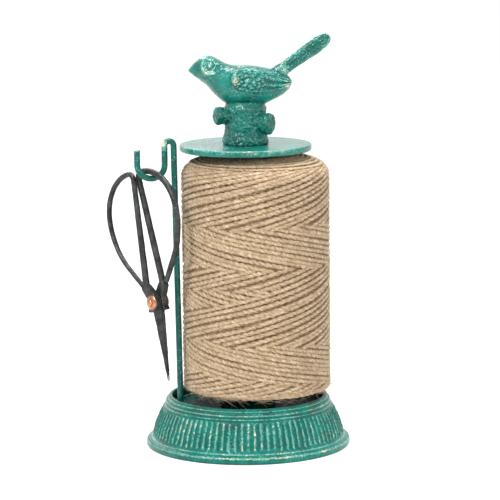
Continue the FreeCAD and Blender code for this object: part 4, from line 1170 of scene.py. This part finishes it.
def wound_path():
    """The twine's centre line: traverses up and down the spool, each laid beside the one before."""
    low_arc = BOTTOM_ROUNDING * math.pi / 2
    straight = (SPOOL_TOP - SPOOL_BOTTOM) / MM - BOTTOM_ROUNDING - TOP_ROUNDING
    lowest = low_arc * 0.52
    highest = low_arc + straight + TOP_ROUNDING * math.pi / 2 * 0.9
    middle = (lowest + highest) / 2
    half = (highest - lowest) / 2
    sharp = math.asin(TRAVERSE_SHARPNESS)
    chance = random.Random(5)
    offsets = [chance.uniform(-0.3, 0.3) for _ in range(2 * TRAVERSES + 2)]
    phase = 0.0
    angle = 0.0
    points = []
    length = 0.0
    while phase < 2 * math.pi * TRAVERSES:
        traverse = phase % (2 * math.pi)
        swing = math.asin(TRAVERSE_SHARPNESS * math.sin(traverse)) / sharp
        drift = 0.7 * noise.noise(Vector((length / 30, 0.5, 0.0))) + offsets[int(2 * phase / math.pi) // 2]
        run = middle + half * swing + drift
        rising = math.cos(traverse) > 0
        height = wound_spot(run, TWINE_RADIUS)[1]
        top = rising_on_top(height, angle)
        buried = smoothstep(-0.45, 1.0, -top if rising else top)
        depth = TWINE_RADIUS + BURIED * buried + 0.2 + 0.2 * noise.noise(Vector((length / 14, 7.5, 0.0)))
        radius, height, out, rise = wound_spot(run, depth)
        points.append((angle, radius, height, out, rise, length))
        step = 1.15 if buried < 0.97 else 3.2
        pace = 2 * (RISING_ROUNDS if rising else FALLING_ROUNDS)
        advance = 0.98 * step / (radius * pace)
        phase += advance
        angle += advance * pace
        length += step
    return points


def strand_mesh(name, rows, corners):
    """A two-ply strand along rows of (place, outward direction, length so far).

    Its points carry the lay of its fibres and how far they face outwards, which the jute turns into painted
    shade.
    """
    places = np.array([row[0] for row in rows])
    out = np.array([row[1] for row in rows])
    lengths = np.array([row[2] for row in rows])
    heading = np.gradient(places, axis=0)
    heading /= np.linalg.norm(heading, axis=1)[:, None]
    out -= heading * np.einsum("ij,ij->i", out, heading)[:, None]
    out /= np.linalg.norm(out, axis=1)[:, None]
    side = np.cross(heading, out)
    twist = 2 * math.pi * lengths / PLY_PITCH
    points = []
    lay = []
    shown = []
    for corner in range(corners):
        turn = 2 * math.pi * corner / corners
        reach = PLY_OFFSET * abs(math.cos(turn))
        reach += math.sqrt(PLY_RADIUS ** 2 - (PLY_OFFSET * math.sin(turn)) ** 2)
        facing = turn + twist
        points.append(places + reach * (FLATTENED * out * np.cos(facing)[:, None]
                                        + side / FLATTENED * np.sin(facing)[:, None]))
        # Less shown on the sides and in the valley between the plies: painted shade in the jute
        shown.append(np.cos(facing) - 0.35 * (1 - abs(math.cos(turn))))
        round_the_ply = [np.full(len(rows), math.cos(turn)), np.full(len(rows), math.sin(turn))]
        lay.append(np.stack([lengths, *round_the_ply], 1))
    points = np.stack(points, 1).reshape(-1, 3) * MM
    lay = np.stack(lay, 1).reshape(-1, 3)
    shown = np.stack(shown, 1).reshape(-1)
    made = mesh_object(name, points, ring_faces(len(rows), corners) + end_faces(len(rows), corners))
    write_lay(made, lay)
    write_marks(made, "shown", shown)
    return made


def make_winding(jute):
    centre = SPOOL_X / MM
    rows = []
    for angle, radius, height, out, rise, length in wound_path():
        side = (math.cos(angle), math.sin(angle))
        rows.append(((centre + radius * side[0], radius * side[1], height),
                     (out * side[0], out * side[1], rise), length))
    winding = strand_mesh("twine_strands", rows, TWINE_CORNERS)
    finish_piece(winding, jute, "spool", "jute", "twine_winding")


def bulge(radius):
    """How far the wound twine swells above the flat of its top, by radius in millimetres."""
    if radius >= CROWN_OUTER:
        return 0.0
    if radius >= CROWN_INNER:
        return CROWN_RISE * (1 - ((radius - CROWN_INNER) / (CROWN_OUTER - CROWN_INNER)) ** 2)
    return CROWN_RISE * (1 - 0.5 * ((CROWN_INNER - radius) / 6.0) ** 2)


def make_end_coil(name, jute, height, outer, body_side):
    """The turns that show on an end face of the spool, as one spiral from the tube out to the rounding."""
    inner = TUBE_RADIUS / MM + TWINE_RADIUS + 0.3
    spacing = 2.0 * TWINE_RADIUS * 0.97
    rows = []
    angle = 0.0
    length = 0.0
    while True:
        radius = inner + spacing * angle / (2 * math.pi)
        if radius > outer:
            break
        wave = 0.5 * noise.noise(Vector((length / 17, 3.0, body_side)))
        swell = bulge(radius) if body_side > 0 else 0.0
        past = max(radius - SPOOL_RADIUS / MM + TOP_ROUNDING, 0.0)
        fall = TOP_ROUNDING - math.sqrt(TOP_ROUNDING ** 2 - past ** 2)
        place = (SPOOL_X / MM + radius * math.cos(angle), radius * math.sin(angle),
                 height + body_side * (0.25 * wave - 0.3 - fall) + swell)
        rows.append((place, (0.0, 0.0, float(body_side)), length))
        step = 1.8
        angle += step / radius
        length += step
    coil = strand_mesh(name, rows, COIL_CORNERS)
    finish_piece(coil, jute, "spool", "jute")


def make_packing(jute):
    """The twine under the outer strands, whose turns show only as ribs between them."""
    radius = SPOOL_RADIUS / MM - PACKING_DEPTH
    low = SPOOL_BOTTOM / MM + 1.5
    high = SPOOL_TOP / MM - 2.4
    bore = TUBE_RADIUS / MM + 0.1
    crown = [(reach, high + bulge(reach)) for reach in (36.0, 31.0, 26.0, 21.0)]
    profile = profile_of([
        (bore, low), (radius - 3.0, low), (radius - 0.9, low + 0.9), (radius, low + 3.0),
        (radius, high - 7.0), (radius - 1.6, high - 2.6), (radius - 5.0, high - 0.4), *crown,
        (bore, high + bulge(bore))], 1.8, 1.3)

    def push(reach, height, angle):
        return 0.25 * MM * math.sin(2 * math.pi * height / (2.7 * MM) + 3 * math.sin(angle))

    packing = lathe("twine_packing", profile, 120, push, closed=True)
    outward(packing)
    points = points_of(packing)
    lay = np.stack([points[:, 0] / MM, points[:, 2] / MM / 2, points[:, 1] / MM / 2], 1)
    write_lay(packing, lay)
    # The packing lies under the strands, so a low shown value gives it painted shade
    write_marks(packing, "shown", [-0.3] * len(points))
    packing.data.transform(Matrix.Translation((SPOOL_X, 0, 0)))
    finish_piece(packing, jute, "spool", "jute", "twine_core")


def make_fibres(jute):
    """Loose fibres that stand off the twine, thickest at its bottom edge."""
    chance = random.Random(11)
    points = []
    faces = []
    lay = []
    for index in range(FIBRES):
        angle = chance.uniform(0, 2 * math.pi)
        low_edge = index < FIBRES * LOW_EDGE_SHARE
        run = chance.uniform(2.0, 9.0) if low_edge else chance.uniform(6.0, 150.0)
        radius, height, out, rise = wound_spot(run, 0.3)
        side = Vector((math.cos(angle), math.sin(angle), 0))
        place = side * radius + Vector((SPOOL_X / MM, 0, height))
        outwards = (side * out + Vector((0, 0, rise))).normalized()
        along = Vector((-side.y, side.x, 0)) * chance.choice((-1, 1))
        heading = along + outwards * chance.uniform(0.15, 0.6) + Vector((0, 0, chance.uniform(-0.5, 0.3)))
        heading = heading.normalized()
        length = chance.uniform(2.5, 6.5)
        if low_edge and abs(angle - 1.5 * math.pi) < 1.2:
            length = chance.uniform(4.0, 9.0)
        bend = Vector((chance.uniform(-1, 1), chance.uniform(-1, 1), chance.uniform(-1, 1))) * 0.35
        bend -= outwards * 0.12
        thick = chance.uniform(0.05, 0.095)
        start = len(points)
        steps = 6
        for step in range(steps + 1):
            share = step / steps
            middle = place + heading * (length * share) + bend * (length * share * share)
            for corner in range(3):
                turn = 2 * math.pi * corner / 3
                around = outwards * math.cos(turn) + heading.cross(outwards) * math.sin(turn)
                points.append((middle + around * thick * (1 - 0.5 * share)) * MM)
                lay.append((index * 3.0 + share * length, math.cos(turn), math.sin(turn)))
        faces += ring_faces(steps + 1, 3, start) + end_faces(steps + 1, 3, start)
    fibres = mesh_object("twine_fibres", points, faces)
    write_lay(fibres, np.array(lay))
    write_marks(fibres, "shown", [1.0] * len(points))
    finish_piece(fibres, jute, "spool", "jute")


def give(material, *nodes):
    """Put a material on frame nodes that are shown as they are."""
    for name in nodes:
        slots = frame["nodes"][name].data.materials
        slots.clear()
        slots.append(material)


make_camera()
make_world()
make_lights()
make_floor()

cast_enamel = make_enamel(
    "enamel_cast", start=1.2, patch_size=85.0, patchiness=2.0, bump=1.0, gloss=0.1)
bird_enamel = make_enamel(
    "enamel_bird", start=1.3, patch_size=85.0, patchiness=2.0, bump=0.7, gloss=0.55)
plate_enamel = make_enamel(
    "enamel_plate", start=1.12, patch_size=60.0, patchiness=2.0, bump=0.9, gloss=0.45)
wire_enamel = make_enamel(
    "enamel_wire", start=0.95, patch_size=140.0, patchiness=1.5, bump=0.25, gloss=0.1, tone=0.55)
iron = make_metal("black_iron", (0.010, 0.012, 0.0115), (0.058, 0.066, 0.063), 0.4, 0.33, 1.15, 0.3)
copper = make_metal("copper", (0.30, 0.12, 0.065), (0.66, 0.33, 0.20), 1.0, 0.26, 1.3, 0.15)
steel = make_metal("steel", (0.20, 0.20, 0.195), (0.40, 0.40, 0.39), 1.0, 0.32, 1.3, 0.1)
jute = make_jute()

make_base(cast_enamel)
make_plate(plate_enamel)
make_bird(bird_enamel)
make_hook(wire_enamel)
make_scissors(iron, copper)
make_packing(jute)
make_winding(jute)
make_end_coil("twine_top_coil", jute, SPOOL_TOP / MM - TWINE_RADIUS, TOP_COIL_OUTER, 1)
make_end_coil("twine_bottom_coil", jute, SPOOL_BOTTOM / MM + TWINE_RADIUS, BOTTOM_COIL_OUTER, -1)
make_fibres(jute)
give(steel, "spindle", "spindle_washer", "spindle_nut", "plate_nut", "hook_washer", "hook_nut")
give(make_cardboard(), "core_tube")
